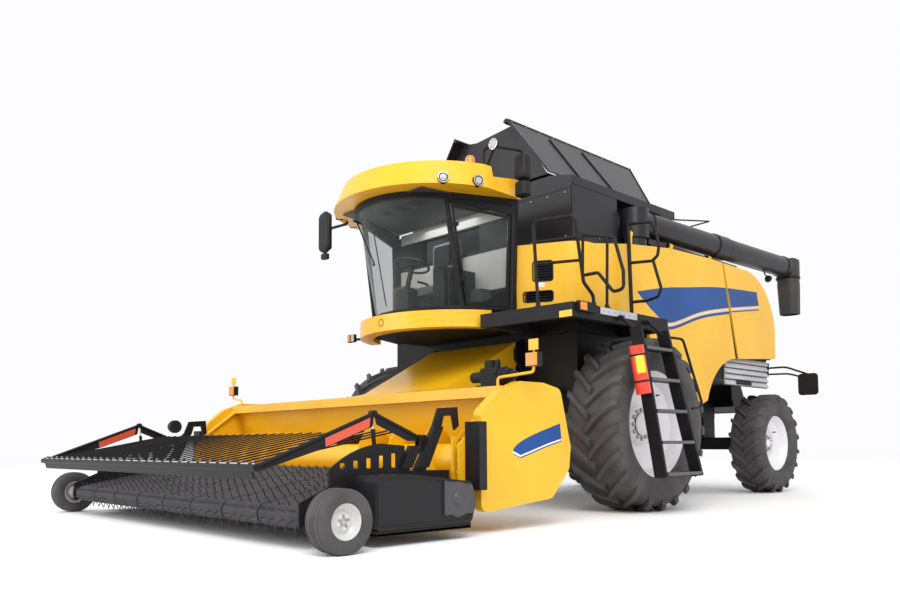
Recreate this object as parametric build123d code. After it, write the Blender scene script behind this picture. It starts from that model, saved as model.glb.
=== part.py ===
"""Combine harvester with a pickup header, in millimetres.

The machine drives towards -Y, +X is its left side (the cab ladder's side) and +Z is up.  The sizes
below are measured from the front axle, and every piece is moved by SHIFT_Y as it is written, so
that the origin lies on the ground under the middle of the whole machine.
"""
from build123d import *
from math import cos, sin, radians, atan2, degrees, hypot
import os

os.makedirs("parts", exist_ok=True)

# ---- driving dimensions -------------------------------------------------------------------------
WHEELBASE = 3900
# diameter, width, rim, half of the track, hub bore; height and number of the lugs; the carcass's flats
FRONT_WHEEL = dict(d=1810, w=650, rim=1110, x=1933, bore=120, lug=46, lugs=17, flats=24)
REAR_WHEEL = dict(d=1394, w=460, rim=770, x=1507, bore=60, lug=38, lugs=15, flats=20)
GAUGE_WHEEL = dict(d=426, w=190, rim=230, x=2456, bore=22, lug=0, lugs=0, flats=16)
FRONT_AXLE_Z = FRONT_WHEEL["d"] / 2
REAR_AXLE_Z = REAR_WHEEL["d"] / 2
GAUGE_AXLE_Y, GAUGE_AXLE_Z = -4234, GAUGE_WHEEL["d"] / 2
FIT = 0.3                       # clearance at a pin, shaft or seated round face
RUN = 8                         # clearance beside a part that moves

BODY_X = 1600                   # outer face of the side shields
SKIN = 40                       # thickness of a side shield with its ribs
CORE_X = 1500                   # threshing body's side
CORE_Y = (-450, 4050)
CORE_Z = (1330, 2340)
SHIELD_TOP_Z = 3115
REAR_Y = 4160                   # rear face of the hood

TANK_X, TANK_NECK_X = 1500, 1350
TANK_Y = (-300, 1860)
TANK_SHOULDER_Z, TANK_RIM_Z = 2960, 3700
TANK_WALL = 20
COVER_HINGE_X, COVER_HINGE_Z = 1060, 3790
COVER_TIP_X, COVER_TIP_Z = 440, 4600
COVER_T = 14

AUGER_PIVOT = (1400, 850)
AUGER_Z, AUGER_R = 3360, 150
AUGER_END_Y = 4720

CAB_FLOOR_Z, CAB_TOP_Z = 2150, 3300
CAB_BASE_Z, FLOOR_TOP_Z = 1965, CAB_FLOOR_Z - 10
CAB_REAR_Y = -850
REAR_WALL_Y = (CAB_REAR_Y - 35, CAB_REAR_Y + 24)
A_POST_FOOT = (740, -1420, CAB_FLOOR_Z)
A_POST_HEAD = (700, -1620, CAB_TOP_Z)
B_POST_FOOT = (970, -900, CAB_FLOOR_Z)
B_POST_HEAD = (1015, -900, CAB_TOP_Z - 80)
SCREEN_FOOT_Y, SCREEN_HEAD_Y = -1740, -2060
GLASS = 8
ROOF_TOP_Z = 3630

DECK_Z, DECK_T = FRONT_WHEEL["d"] + 230, 140
DECK_X = 2130
LADDER_TOP, LADDER_FOOT = (2330, DECK_Z - 190), (2480, 370)

FEEDER_PIVOT = (-520, 1720)
FEEDER_X = 700
LIFT_BASE, LIFT_EYE, LIFT_X = (-330, 760), (-1500, 430), 420
LIFT_RANGE = 15

HEADER_X = 2250                 # outer face of the header's end sheets
HEADER_TOP = (-2418, 1185)
CROSS_AUGER = dict(y=-2560, z=560, r=290, tube=150)
TABLE_Y, TABLE_Z = -2956, 400        # front edge of the header's floor
PICKUP_X = 2150
FRONT_ROLLER, REAR_ROLLER, ROLLER_R = (-4250, 215), (-3080, 430), 62
BELT_T = 14
GUARD_HINGE = (-3230, 750)
GUARD_BAR = (-4650, 560)
GUARD_X = 2130
GUARD_BAR_R = 24
GUARD_APEX = (-3680, 930)
GUARD_FOOT = (-3640, 520)
GUARD_RANGE = 25

SPOUT_END_Y = 5010
SHIFT_Y = -(GUARD_BAR[0] - GUARD_BAR_R + SPOUT_END_Y) / 2


# ---- shapes -------------------------------------------------------------------------------------
def block(x0, x1, y0, y1, z0, z1):
    """Box between two corners."""
    size = (abs(x1 - x0), abs(y1 - y0), abs(z1 - z0))
    return Pos((x0 + x1) / 2, (y0 + y1) / 2, (z0 + z1) / 2) * Box(*size)


def outline(start, *steps):
    """Closed face: each step is the next point, or a (middle, end) pair for an arc."""
    edges, here = [], start
    for step in steps:
        if isinstance(step[0], tuple):
            edges.append(ThreePointArc(here, step[0], step[1]))
            here = step[1]
        else:
            edges.append(Line(here, step))
            here = step
    if hypot(here[0] - start[0], here[1] - start[1]) > 0.01:
        edges.append(Line(here, start))
    return make_face(edges)


def side_plate(face, x0, x1):
    """A (y, z) face carried along X."""
    return Pos(x0, 0, 0) * extrude(Plane.YZ * face, amount=x1 - x0)


def cross_plate(face, y0, y1):
    """An (x, z) face carried along Y."""
    return Pos(0, y1, 0) * extrude(Plane.XZ * face, amount=y1 - y0)


def plan_plate(face, z0, z1):
    """An (x, y) face carried along Z."""
    return Pos(0, 0, z0) * extrude(face, amount=z1 - z0)


def rod(p, q, r):
    """Round bar from p to q."""
    way = Vector(*q) - Vector(*p)
    return Plane(origin=p, z_dir=way) * Cylinder(r, way.length, align=(Align.CENTER,) * 2 + (Align.MIN,))


def bent_tube(points, r, bend):
    """Tube swept along straight runs joined by arcs."""
    path = FilletPolyline(*points, radius=bend)
    return sweep(Plane(origin=path @ 0, z_dir=path % 0) * Circle(r), path=path)


def mirrored(shape):
    return mirror(shape, about=Plane.YZ)


def both(shape):
    """The shape on the left side and its mirror image on the right."""
    return shape + mirrored(shape)


def turned(shape):
    """A profile of (axial x, radius) points turned about the X axis."""
    return revolve(shape, axis=Axis.X)


def belt_loop(x0, x1, front, rear, r, t):
    """Endless belt around two rollers: outer radius r + t, inner radius r."""
    length = hypot(rear[0] - front[0], rear[1] - front[1])
    slope = degrees(atan2(rear[1] - front[1], rear[0] - front[0]))
    faces = [SlotCenterToCenter(length, 2 * (r + grow)) for grow in (t, 0)]
    middle = ((front[0] + rear[0]) / 2, (front[1] + rear[1]) / 2)
    loop = Pos(*middle) * Rot(0, 0, slope) * (faces[0] - faces[1])
    return side_plate(loop, x0, x1)


# ---- wheels and axles ---------------------------------------------------------------------------
LUG_SWEEP = 42                  # degrees between a lug and the axle


def tyre(wheel, y, z):
    """Tyre of the left wheel: a carcass of flat facets from bead to tread, with its lugs."""
    w, rb = wheel["w"], wheel["rim"] / 2
    ro = wheel["d"] / 2 - wheel["lug"]
    h = ro - rb

    def skin(*half):
        stations = [*half, *[(-x, r) for x, r in reversed(half)]]
        return loft([Plane.YZ.offset(x * w) * RegularPolygon(r, wheel["flats"], major_radius=False,
                                                             rotation=180 / wheel["flats"])
                     for x, r in stations], ruled=True)

    outer = skin((-0.5, rb + 0.42 * h), (-0.465, ro - 0.16 * h), (-0.40, ro))
    inner = skin((-0.5, rb + 0.42 * h), (-0.45, rb + 0.16 * h), (-0.36, rb))
    body = outer - inner
    bars = [Rot(360 * (k + 0.25 * (1 + s)) / wheel["lugs"], 0, 0) * tread_lug(wheel, s)
            for k in range(wheel["lugs"]) for s in (-1, 1)]
    return Pos(wheel["x"], y, z) * (body.fuse(*bars) if bars else body)


def tread_lug(wheel, side):
    """One swept tread lug at the top of the tyre, its corners on the tyre's outer diameter."""
    w, ro = wheel["w"], wheel["d"] / 2
    length, thick = 0.45 * w / cos(radians(LUG_SWEEP)), 0.085 * w
    reach = length / 2 * sin(radians(LUG_SWEEP)) + thick / 2
    top = (ro ** 2 - reach ** 2) ** 0.5
    bar = Box(length, thick, wheel["lug"] + 16, align=(Align.CENTER, Align.CENTER, Align.MAX))
    return Pos(side * 0.235 * w, 0, top) * Rot(0, 0, side * LUG_SWEEP) * bar


def rim(wheel, y, z):
    """Rim of the left wheel: barrel, dished disc and hub with its bore."""
    w, rb, rh = wheel["w"], wheel["rim"] / 2 - FIT, wheel["bore"] + FIT
    wall, hub = 0.045 * wheel["rim"], 0.07 * w
    profile = outline((-0.36 * w, rb), (0.36 * w, rb), (0.36 * w, rb - 0.5 * wall), (0.28 * w, rb - wall),
                      (0.16 * w, rb - 1.6 * wall), (-0.02 * w, rh + 2.2 * hub), (hub, rh + 1.6 * hub),
                      (hub, rh),
                      (-hub, rh), (-hub, rh + 1.8 * hub), (0.02 * w, rb - 2.2 * wall), (0.2 * w, rb - wall),
                      (-0.36 * w, rb - 0.5 * wall))
    return Pos(wheel["x"], y, z) * turned(profile)


def front_axle():
    """Beam with a final drive at each end, and the shafts that the front hubs run on."""
    z, hub = FRONT_AXLE_Z, 0.07 * FRONT_WHEEL["w"]
    drive_end = FRONT_WHEEL["x"] - hub - RUN
    beam = block(-1250, 1250, -150, 150, z - 140, CHASSIS_Z[0])
    drive = rod((1250, 0, z), (drive_end, 0, z), 230)
    shaft = rod((drive_end, 0, z), (FRONT_WHEEL["x"] + hub + 12, 0, z), FRONT_WHEEL["bore"])
    return beam + both(drive + shaft)


CHASSIS_Z = (1090, CORE_Z[0])
CHASSIS_X = (540, 650)
KING_X, KING_R = 1180, 36
STEER_ARM = 190
HITCH_Y, HITCH_R = WHEELBASE + 190, 16.5


def chassis():
    """Two side rails, cross members, and the drop bracket that carries the rear axle."""
    end = WHEELBASE + 180
    rail = block(*CHASSIS_X, -400, end, *CHASSIS_Z)
    ties = [block(-CHASSIS_X[0], CHASSIS_X[0], y, y + 120, *CHASSIS_Z)
            for y in (-400, 1200, 2500, end - 120)]
    drop = block(*CHASSIS_X, WHEELBASE - 170, WHEELBASE + 170, REAR_AXLE_Z + 90, CHASSIS_Z[0])
    frame = both(rail + drop)
    for tie in ties:
        frame += tie
    return frame


def rear_axle():
    """Steering axle beam with an eye at each end for its kingpin."""
    z = REAR_AXLE_Z
    beam = block(-KING_X, KING_X, WHEELBASE - 80, WHEELBASE + 80, z - 90, z + 90)
    eye = rod((KING_X, WHEELBASE, z - 90), (KING_X, WHEELBASE, z + 90), 85)
    bore = rod((KING_X, WHEELBASE, z - 100), (KING_X, WHEELBASE, z + 100), KING_R + FIT)
    hitch = block(-70, 70, WHEELBASE + 80, WHEELBASE + 250, REAR_AXLE_Z - 20, REAR_AXLE_Z + 20)
    hitch -= rod((0, HITCH_Y, REAR_AXLE_Z - 30), (0, HITCH_Y, REAR_AXLE_Z + 30), HITCH_R)
    return beam + both(eye) - both(bore) + hitch


def knuckle():
    """Left steering knuckle: fork, kingpin, steering arm and the spindle of the rear hub."""
    z, hub = REAR_AXLE_Z, 0.07 * REAR_WHEEL["w"]
    back = KING_X + 95
    ears = [block(KING_X - 50, back + 30, WHEELBASE - 55, WHEELBASE + 55, z + s * 96, z + s * 126)
            for s in (1, -1)]
    pin = rod((KING_X, WHEELBASE, z - 126), (KING_X, WHEELBASE, z + 126), KING_R)
    plate = block(back, back + 30, WHEELBASE - 55, WHEELBASE + 55, z - 126, z + 126)
    arm = block(KING_X - 40, KING_X + 10, WHEELBASE - STEER_ARM - 20, WHEELBASE, z - 126, z - 96)
    boss = rod((back + 30, WHEELBASE, z), (REAR_WHEEL["x"] - hub - RUN, WHEELBASE, z), 85)
    spindle = rod((back, WHEELBASE, z), (REAR_WHEEL["x"] + hub + 8, WHEELBASE, z), REAR_WHEEL["bore"])
    return ears[0] + ears[1] + pin + plate + arm + boss + spindle


# ---- body ---------------------------------------------------------------------------------------
SEAM_TOP, SEAM_FOOT = 2600, 2950          # slanted joint between side door and rear shield
CORNER_END = 440                          # where the fixed front corner ends and the side door starts
SHIELD_UPPER = [(-850, 2870), (-250, 2880), (430, 2990), (1300, 3085), (2300, SHIELD_TOP_Z), (3300, 3105)]


def shield_profile():
    """Whole side of the body: rising top edge, round tail, arch over the rear wheel, front wheel cut."""
    return outline(*SHIELD_UPPER, ((3900, 2850), (REAR_Y - 10, 2350)), (REAR_Y - 30, 1920), (2860, 1835),
                   ((2420, 1650), (2130, 1250)), (1950, 1180), (1020, 1230), (800, 2000), (430, 2130),
                   (-850, 2170))


def shield_part(cutter):
    """Left side shield, kept where the (y, z) cutter face lies."""
    whole = side_plate(shield_profile(), BODY_X - SKIN, BODY_X)
    return whole & side_plate(cutter, BODY_X - SKIN - 5, BODY_X + 5)


VENTS = ((1233, 2570, 195, 220), (1186, 2294, 290, 115))     # x, z, width and height on the front corners


def corner_shield():
    """Left front corner: the wall beside the cab's rear post and its bend into the side."""
    outer = outline((975, -820), (1440, -575), ((1560, -470), (BODY_X, -320)), (BODY_X, CORNER_END),
                    (BODY_X - SKIN, CORNER_END), (BODY_X - SKIN, -310), ((1530, -440), (1425, -535)),
                    (960, -785))
    shield = plan_plate(outer, 2100, 3100) & side_plate(shield_profile(), 900, BODY_X + 5)
    for x, z, wide, high in VENTS:
        shield -= cross_plate(Pos(x, z) * RectangleRounded(wide, high, 28), -900, -480)
    return shield


DOOR_AXIS = (1545, 3150)                  # x, z of the side doors' hinge line
DOOR_STRAPS = (520, 1400, 2350)


def side_door():
    """Left side door with the straps and eyes that it swings on."""
    seam = 12
    cut = outline((CORNER_END + seam, 900), (CORNER_END + seam, 3300), (SEAM_TOP - 30, 3300),
                  (SEAM_FOOT + 180, 900))
    door = shield_part(cut)
    x, z = DOOR_AXIS
    for y in DOOR_STRAPS:
        strap = outline((BODY_X - SKIN - 12, 2700), (BODY_X - SKIN, 2700), (BODY_X - SKIN, z - 60),
                        (x + 30, z), (x, z + 26), (x - 26, z), (x, z - 26), (BODY_X - SKIN - 12, z - 70))
        door += cross_plate(strap, y - 30, y + 30)
        door -= rod((x, y - 40, z), (x, y + 40, z), 12 + FIT)
    return door


def door_rails():
    """Rails along the body's shoulders with the lugs and pins of the side doors."""
    x, z = DOOR_AXIS
    rail = block(CORE_X, x - 32, CORNER_END, SEAM_TOP - 20, TANK_SHOULDER_Z - 60, TANK_SHOULDER_Z)
    for y in DOOR_STRAPS:
        for s in (-1, 1):
            lug = outline((CORE_X, TANK_SHOULDER_Z - 20), (x - 32, TANK_SHOULDER_Z - 20), (x - 32, z - 60),
                          (x + 18, z - 18),
                          (x + 18, z + 18), (x - 18, z + 18), (CORE_X, z - 40))
            rail += cross_plate(lug, y + s * 38 - 6, y + s * 38 + 6)
        rail += rod((x, y - 44, z), (x, y + 44, z), 12)
    return both(rail)


def rear_shield():
    """Left rear shield, fixed, behind the slanted seam."""
    return shield_part(outline((SEAM_TOP, 3300), (4300, 3300), (4300, 1700), (SEAM_FOOT + 90, 1700)))


def rear_hood():
    """Roof of the engine bay and the round tail between the two rear shields."""
    x = BODY_X - SKIN
    skin = outline((TANK_Y[1] + 15, 3070), (3290, 3060), ((3860, 2810), (REAR_Y - 52, 2350)),
                   (REAR_Y - 72, 1930),
                   (REAR_Y - 30, 1920), (REAR_Y - 10, 2350), ((3900, 2850), (3300, 3105)),
                   (TANK_Y[1] + 15, 3110))
    roof = side_plate(skin, -x, x)
    side_cut = block(CORE_X - 8, x + 5, TANK_Y[1], SEAM_TOP + 5, 3000, 3200)
    ribs = block(-x, x, 3300, 3320, 2340, 3040) & side_plate(skin_under(), -x, x)
    return roof - both(side_cut) + ribs


def skin_under():
    return outline((2000, 2340), (4000, 2340), (4000, 2600), (3500, 3020), (2000, 3060))


def body_core():
    """Threshing and cleaning body, closed."""
    side = outline((CORE_Y[0], CORE_Z[0]), (2200, CORE_Z[0]), (2420, 1560), (CORE_Y[1], 1560),
                   (CORE_Y[1], CORE_Z[1]), (CORE_Y[0], CORE_Z[1]))
    return side_plate(side, -CORE_X, CORE_X)


def shield_ribs():
    """Ribs on the body's sides that carry the fixed shields."""
    rib = BODY_X - SKIN
    front = block(CORE_X, rib, -250, CORNER_END - 40, 2200, CORE_Z[1])
    return both(front + block(CORE_X, rib, 3150, CORE_Y[1], 1900, CORE_Z[1]))


def engine():
    """Engine and gearbox as one block on the body."""
    return block(-560, 560, 2250, 3280, CORE_Z[1], 2980)


def front_bulkhead():
    """Closed housing between the cab's rear wall and the grain tank."""
    low, front, back = CAB_FLOOR_Z - 60, REAR_WALL_Y[1], TANK_Y[0]
    side = outline((front, low), (CORE_Y[0], low), (CORE_Y[0], CORE_Z[1]), (back, CORE_Z[1]), (back, 2860),
                   (front, 2860))
    return side_plate(side, -955, 955)


def chopper_housing():
    """Straw chopper housing behind the body."""
    end = 4080 + 10
    face = outline((CORE_Y[1], 1900), (CORE_Y[1], CHASSIS_Z[1] + 5), (end, CHASSIS_Z[1] + 5), (end, 1250),
                   (4400, 1180),
                   (4480, 1330), (4180, 1900))
    return side_plate(face, -950, 950)


def rear_louvres():
    """Left louvred panel under the rear shield, and the marker board on two arms behind it."""
    panel = block(CORE_X, CORE_X + 8, 2730, CORE_Y[1] - 10, 1485, 1890)
    for z in (1500, 1580, 1660, 1740, 1820):
        panel += side_plate(outline((2750, z), (CORE_Y[1] - 30, z), (CORE_Y[1] - 30, z + 55),
                                    (2750, z + 55)),
                            CORE_X + 8, CORE_X + 40)
    panel += block(CORE_X, CORE_X + 8, CORE_Y[1] - 11, CORE_Y[1] + 60, 1660, 1860)
    y = CORE_Y[1] + 46
    panel += rod((CORE_X + 2, y, 1790), (2060, y, 1650), 14)
    panel += rod((CORE_X + 2, y, 1700), (1960, y, 1640), 14)
    return panel + block(1930, 2210, y - 6, y + 12, 1370, 1680)


TAIL_HINGE = (4525, 1400)


def tailboard():
    """Straw deflector with its hinge eyes, under the tail."""
    y, z = TAIL_HINGE
    board = side_plate(outline((y + 40, z - 10), (y + 445, z - 215), (y + 460, z - 190), (y + 50, z + 20)),
                       -900, 900)
    for x in (-800, 0, 800):
        board += rod((x - 40, y, z), (x + 40, y, z), 30)
        board += block(x - 40, x + 40, y, y + 60, z - 8, z + 12)
    for x in (-800, 0, 800):
        board -= rod((x - 41, y, z), (x + 41, y, z), 12 + FIT)
    return board


def tail_lugs():
    """Lugs and pins behind the chopper housing that carry the tailboard."""
    y, z = TAIL_HINGE
    lugs = None
    for x in (-800, 0, 800):
        for s in (-1, 1):
            lug = side_plate(outline((4350, 1300), (4350, 1500), (y + 10, z + 20), (y + 20, z),
                                     (y + 10, z - 20)),
                             x + s * 54 - 8, x + s * 54 + 8)
            lugs = lug if lugs is None else lugs + lug
        lugs += rod((x - 60, y, z), (x + 60, y, z), 12)
    return lugs


# ---- grain tank and unloading auger ------------------------------------------------------------
NOTCH = dict(x=1140, y0=560, z1=3600)


def grain_tank():
    """Open-topped tank: wide bin below, narrower neck above, notched for the auger's elbow."""
    y0, y1 = TANK_Y
    rim_x = COVER_HINGE_X - 30
    mouth_x = rim_x - 40
    bin_out = outline((-TANK_X, CORE_Z[1]), (TANK_X, CORE_Z[1]), (TANK_X, TANK_SHOULDER_Z),
                      (TANK_NECK_X, TANK_SHOULDER_Z), (TANK_NECK_X, TANK_RIM_Z), (rim_x, TANK_RIM_Z + 60),
                      (-rim_x, TANK_RIM_Z + 60), (-TANK_NECK_X, TANK_RIM_Z), (-TANK_NECK_X, TANK_SHOULDER_Z),
                      (-TANK_X, TANK_SHOULDER_Z))
    t = TANK_WALL
    inner_x = TANK_NECK_X - t
    hole = outline((-900, CORE_Z[1] + 60), (900, CORE_Z[1] + 60), (TANK_X - t, TANK_SHOULDER_Z - 2 * t),
                   (inner_x, TANK_SHOULDER_Z - t), (inner_x, TANK_RIM_Z - 2 * t),
                   (rim_x, TANK_RIM_Z + 60 - 2 * t),
                   (-rim_x, TANK_RIM_Z + 60 - 2 * t), (-inner_x, TANK_RIM_Z - 2 * t),
                   (-inner_x, TANK_SHOULDER_Z - t), (-TANK_X + t, TANK_SHOULDER_Z - 2 * t))
    tank = cross_plate(bin_out, y0, y1) - cross_plate(hole, y0 + t, y1 - t)
    tank -= block(-mouth_x, mouth_x, y0 + 40, y1 - 40, TANK_RIM_Z - 100, TANK_RIM_Z + 100)
    notch_box = block(NOTCH["x"], TANK_NECK_X + 5, NOTCH["y0"], y1 + 5, TANK_SHOULDER_Z, NOTCH["z1"])
    lining = block(NOTCH["x"] - t, TANK_NECK_X, NOTCH["y0"] - t, y1, TANK_SHOULDER_Z - t, NOTCH["z1"] + t)
    return tank + (lining & cross_plate(bin_out, y0, y1)) - notch_box


COVER_ANGLE = atan2(COVER_TIP_Z - COVER_HINGE_Z, COVER_HINGE_X - COVER_TIP_X)
COVER_LENGTH = hypot(COVER_TIP_Z - COVER_HINGE_Z, COVER_HINGE_X - COVER_TIP_X)
COVER_EYES = (-150, 750, 1650)


def tank_cover():
    """Left tank cover, half open: a stiff sheet on eyes along the tank's rim."""
    sheet = plan_plate(outline((30, TANK_Y[0] - 30), (COVER_LENGTH, TANK_Y[0] - 80),
                               (COVER_LENGTH, 2240), (30, TANK_Y[1] - 20)), 0, COVER_T)
    lip = block(COVER_LENGTH - 40, COVER_LENGTH, TANK_Y[0] - 80, 2240, COVER_T, COVER_T + 40)
    cover = sheet + lip
    for y in COVER_EYES:
        cover += block(0, 60, y - 35, y + 35, 0, COVER_T)
        cover += rod((0, y - 35, 0), (0, y + 35, 0), COVER_T)
    cover = Pos(COVER_HINGE_X, 0, COVER_HINGE_Z) * Rot(0, degrees(COVER_ANGLE) - 180, 0) * cover
    for y in COVER_EYES:
        cover -= rod((COVER_HINGE_X, y - 36, COVER_HINGE_Z), (COVER_HINGE_X, y + 36, COVER_HINGE_Z), 6 + FIT)
    return cover


def cover_gussets(offset, reach):
    """The left cover's parts of both end gussets, which ride on it and fold down inside the tank."""
    low = COVER_HINGE_Z + 30
    half = outline((COVER_HINGE_X - 100, low), (reach, low), (reach, COVER_TIP_Z - 110),
                   (COVER_TIP_X + 10, COVER_TIP_Z - 45), (COVER_TIP_X + 40, COVER_TIP_Z - 70))
    front, rear = TANK_Y[0] + 60 + offset, TANK_Y[1] - 60 - offset
    return cross_plate(half, front - 4, front + 4) + cross_plate(half, rear - 4, rear + 4)


def cover_pins():
    """Lugs and pins on the tank's rim for both covers."""
    lugs = None
    for y in COVER_EYES:
        for s in (-1, 1):
            lug = cross_plate(outline((COVER_HINGE_X - 20, TANK_RIM_Z + 50),
                                      (COVER_HINGE_X + 25, TANK_RIM_Z + 45),
                                      (COVER_HINGE_X + 12, COVER_HINGE_Z + 12),
                                      (COVER_HINGE_X - 12, COVER_HINGE_Z + 12)),
                              y + s * 42 - 5, y + s * 42 + 5)
            lugs = lug if lugs is None else lugs + lug
        lugs += rod((COVER_HINGE_X, y - 46, COVER_HINGE_Z), (COVER_HINGE_X, y + 46, COVER_HINGE_Z), 6)
    return both(lugs)


ELBOW_R, TURRET_Z = 170, 3150


def auger_channel():
    """Channel under the folded auger, on a foot on the tank's shoulder."""
    channel = block(1395, 1475, 1032, 3280, SHIELD_TOP_Z + 4, 3186)
    channel -= block(1405, 1465, 1025, 3290, SHIELD_TOP_Z, 3176)
    return channel + block(1395, 1475, 1080, 1200, TANK_SHOULDER_Z, 3180)


def auger_turret():
    """Fixed lower elbow of the unloading auger, standing on the tank's shoulder."""
    x, y = AUGER_PIVOT
    column = rod((x, y, TANK_SHOULDER_Z), (x, y, TURRET_Z), ELBOW_R - 30)
    return column & block(1150, 1560, 600, 1100, 2900, 3200)


def unloading_auger():
    """Swinging tube with its elbow over the turret, folded back along the body."""
    x, y = AUGER_PIVOT
    elbow = rod((x, y, TURRET_Z + FIT), (x, y, AUGER_Z + AUGER_R), ELBOW_R)
    tube = rod((x + 20, y, AUGER_Z), (x + 110, AUGER_END_Y + 20, AUGER_Z + 20), AUGER_R)
    tube &= block(x - 300, x + 400, y - 50, AUGER_END_Y, AUGER_Z - 300, AUGER_Z + 300)
    collar = rod((x + 60, 2600, AUGER_Z + 8), (x + 68, 2900, AUGER_Z + 10), AUGER_R + 12)
    return elbow + tube + collar


def auger_spout():
    """Rubber spout that hangs from the auger's end."""
    x = AUGER_PIVOT[0] + 110
    head = block(x - 165, x + 165, AUGER_END_Y, SPOUT_END_Y, 3080, AUGER_Z + 170)
    chute = loft([Plane(origin=(x + 15, (AUGER_END_Y + SPOUT_END_Y) / 2, z)) * Rectangle(w, d)
                  for z, w, d in ((3080, 330, 290), (2660, 250, 240))])
    return head + chute


# ---- cab ----------------------------------------------------------------------------------------
def cab_plan(grow, front_y, head=False):
    """Plan outline of the cab: flat rear, straight door sides and a round front."""
    a = A_POST_HEAD if head else A_POST_FOOT
    b = B_POST_HEAD if head else B_POST_FOOT
    ax, bx = a[0] + grow, b[0] + grow
    return outline((-bx, CAB_REAR_Y), (bx, CAB_REAR_Y), (bx, b[1]), (ax, a[1] - grow * 0.3),
                   ((0, front_y - grow), (-ax, a[1] - grow * 0.3)), (-bx, b[1]))


def cab_base():
    """Underframe of the cab and the floor that closes it."""
    deck = plan_plate(cab_plan(0, SCREEN_FOOT_Y - 30), CAB_BASE_Z, FLOOR_TOP_Z)
    return deck + block(-900, 900, CAB_REAR_Y, CORE_Y[0], CAB_BASE_Z, CAB_FLOOR_Z - 60)


def cab_frame():
    """Posts and the rails that join them at head and foot."""
    posts = rod(A_POST_FOOT, A_POST_HEAD, 32)
    posts += rod(B_POST_FOOT, (B_POST_HEAD[0], B_POST_HEAD[1], CAB_TOP_Z), 34)
    head = plan_plate(cab_plan(30, SCREEN_HEAD_Y, True) - cab_plan(-40, SCREEN_HEAD_Y, True), CAB_TOP_Z,
                      CAB_TOP_Z + 60)
    foot = plan_plate(cab_plan(30, SCREEN_FOOT_Y) - cab_plan(-40, SCREEN_FOOT_Y), CAB_FLOOR_Z - 10,
                      CAB_FLOOR_Z + 20)
    head_spot, gap = side_spot(A_POST_HEAD), DOOR_IN - RUN
    lean, rear_low = head_spot[0] / head_spot[1], side_spot(B_POST_HEAD)
    rear_top = side_spot((B_POST_HEAD[0], B_POST_HEAD[1], CAB_TOP_Z + 10))
    beam = extrude(side_plane() * outline((lean * (head_spot[1] - gap), head_spot[1] - gap),
                                          (rear_low[0], rear_low[1] - gap),
                                          rear_top, head_spot), amount=15, both=True)
    return both(posts) + head + foot + both(beam)


def windscreen():
    """Round front glass, leaning forwards at its head."""
    bands = []
    for z, post, front in ((CAB_FLOOR_Z + 20 + FIT, A_POST_FOOT, SCREEN_FOOT_Y),
                           (CAB_TOP_Z - FIT, A_POST_HEAD, SCREEN_HEAD_Y)):
        x, y = post[0] - 34, post[1] - 4
        band = outline((-x, y), ((0, front), (x, y)), (x - 8, y + GLASS),
                       ((0, front + GLASS), (-x + 8, y + GLASS)))
        bands.append(Plane(origin=(0, 0, z)) * band)
    return loft(bands)


def cab_rear_wall():
    """Rear wall behind the seat, with a window into the grain tank's side."""
    low, high = CAB_FLOOR_Z - 10, CAB_TOP_Z
    wall = outline((-B_POST_FOOT[0], low), (B_POST_FOOT[0], low), (B_POST_HEAD[0], high),
                   (-B_POST_HEAD[0], high))
    return cross_plate(wall, *REAR_WALL_Y) - block(-480, 480, CAB_REAR_Y - 100, CAB_REAR_Y + 100, 2900, 3180)


def side_plane():
    """Plane of the left door: x from the front post to the rear one, y up."""
    foot, rear, head = (Vector(*p) for p in (A_POST_FOOT, B_POST_FOOT, A_POST_HEAD))
    return Plane(origin=A_POST_FOOT, x_dir=rear - foot, z_dir=(rear - foot).cross(head - foot))


def side_spot(point):
    local = side_plane().to_local_coords(Vector(*point))
    return local.X, local.Y


def door_outline(inset, low, sill):
    """Door shape in its plane; the lower edge rises to the rear when sill is over zero."""
    head, rear_head, rear = side_spot(A_POST_HEAD), side_spot(B_POST_HEAD), side_spot(B_POST_FOOT)
    lean = head[0] / head[1]
    foot, front_top = (inset + lean * low, low), head[1] - inset - SWING_GAP
    return outline(foot, (rear[0] * 0.45, low + sill * 0.15), (rear[0] - inset, low + sill),
                   (rear_head[0] - inset, rear_head[1] - inset), (inset + lean * front_top, front_top))


DOOR_IN, DOOR_LOW, DOOR_SILL = 42, 28, 190
SWING_GAP = 18                  # the door's front top corner rises as it swings about its leaning hinge line


DOOR_HINGES = (0.25, 0.75)
HINGE_OFF = (-6, 55)            # the hinge line beside the front post: along the door's plane, and out of it
HINGE_EYE = 18


def hinge_point(t):
    """Point on the cab door's hinge line, t of the way up the front post and just outside it."""
    foot, head, plane = Vector(*A_POST_FOOT), Vector(*A_POST_HEAD), side_plane()
    spot = foot + (head - foot) * t + plane.x_dir * HINGE_OFF[0] + plane.z_dir * HINGE_OFF[1]
    return (spot.X, spot.Y, spot.Z)


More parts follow.
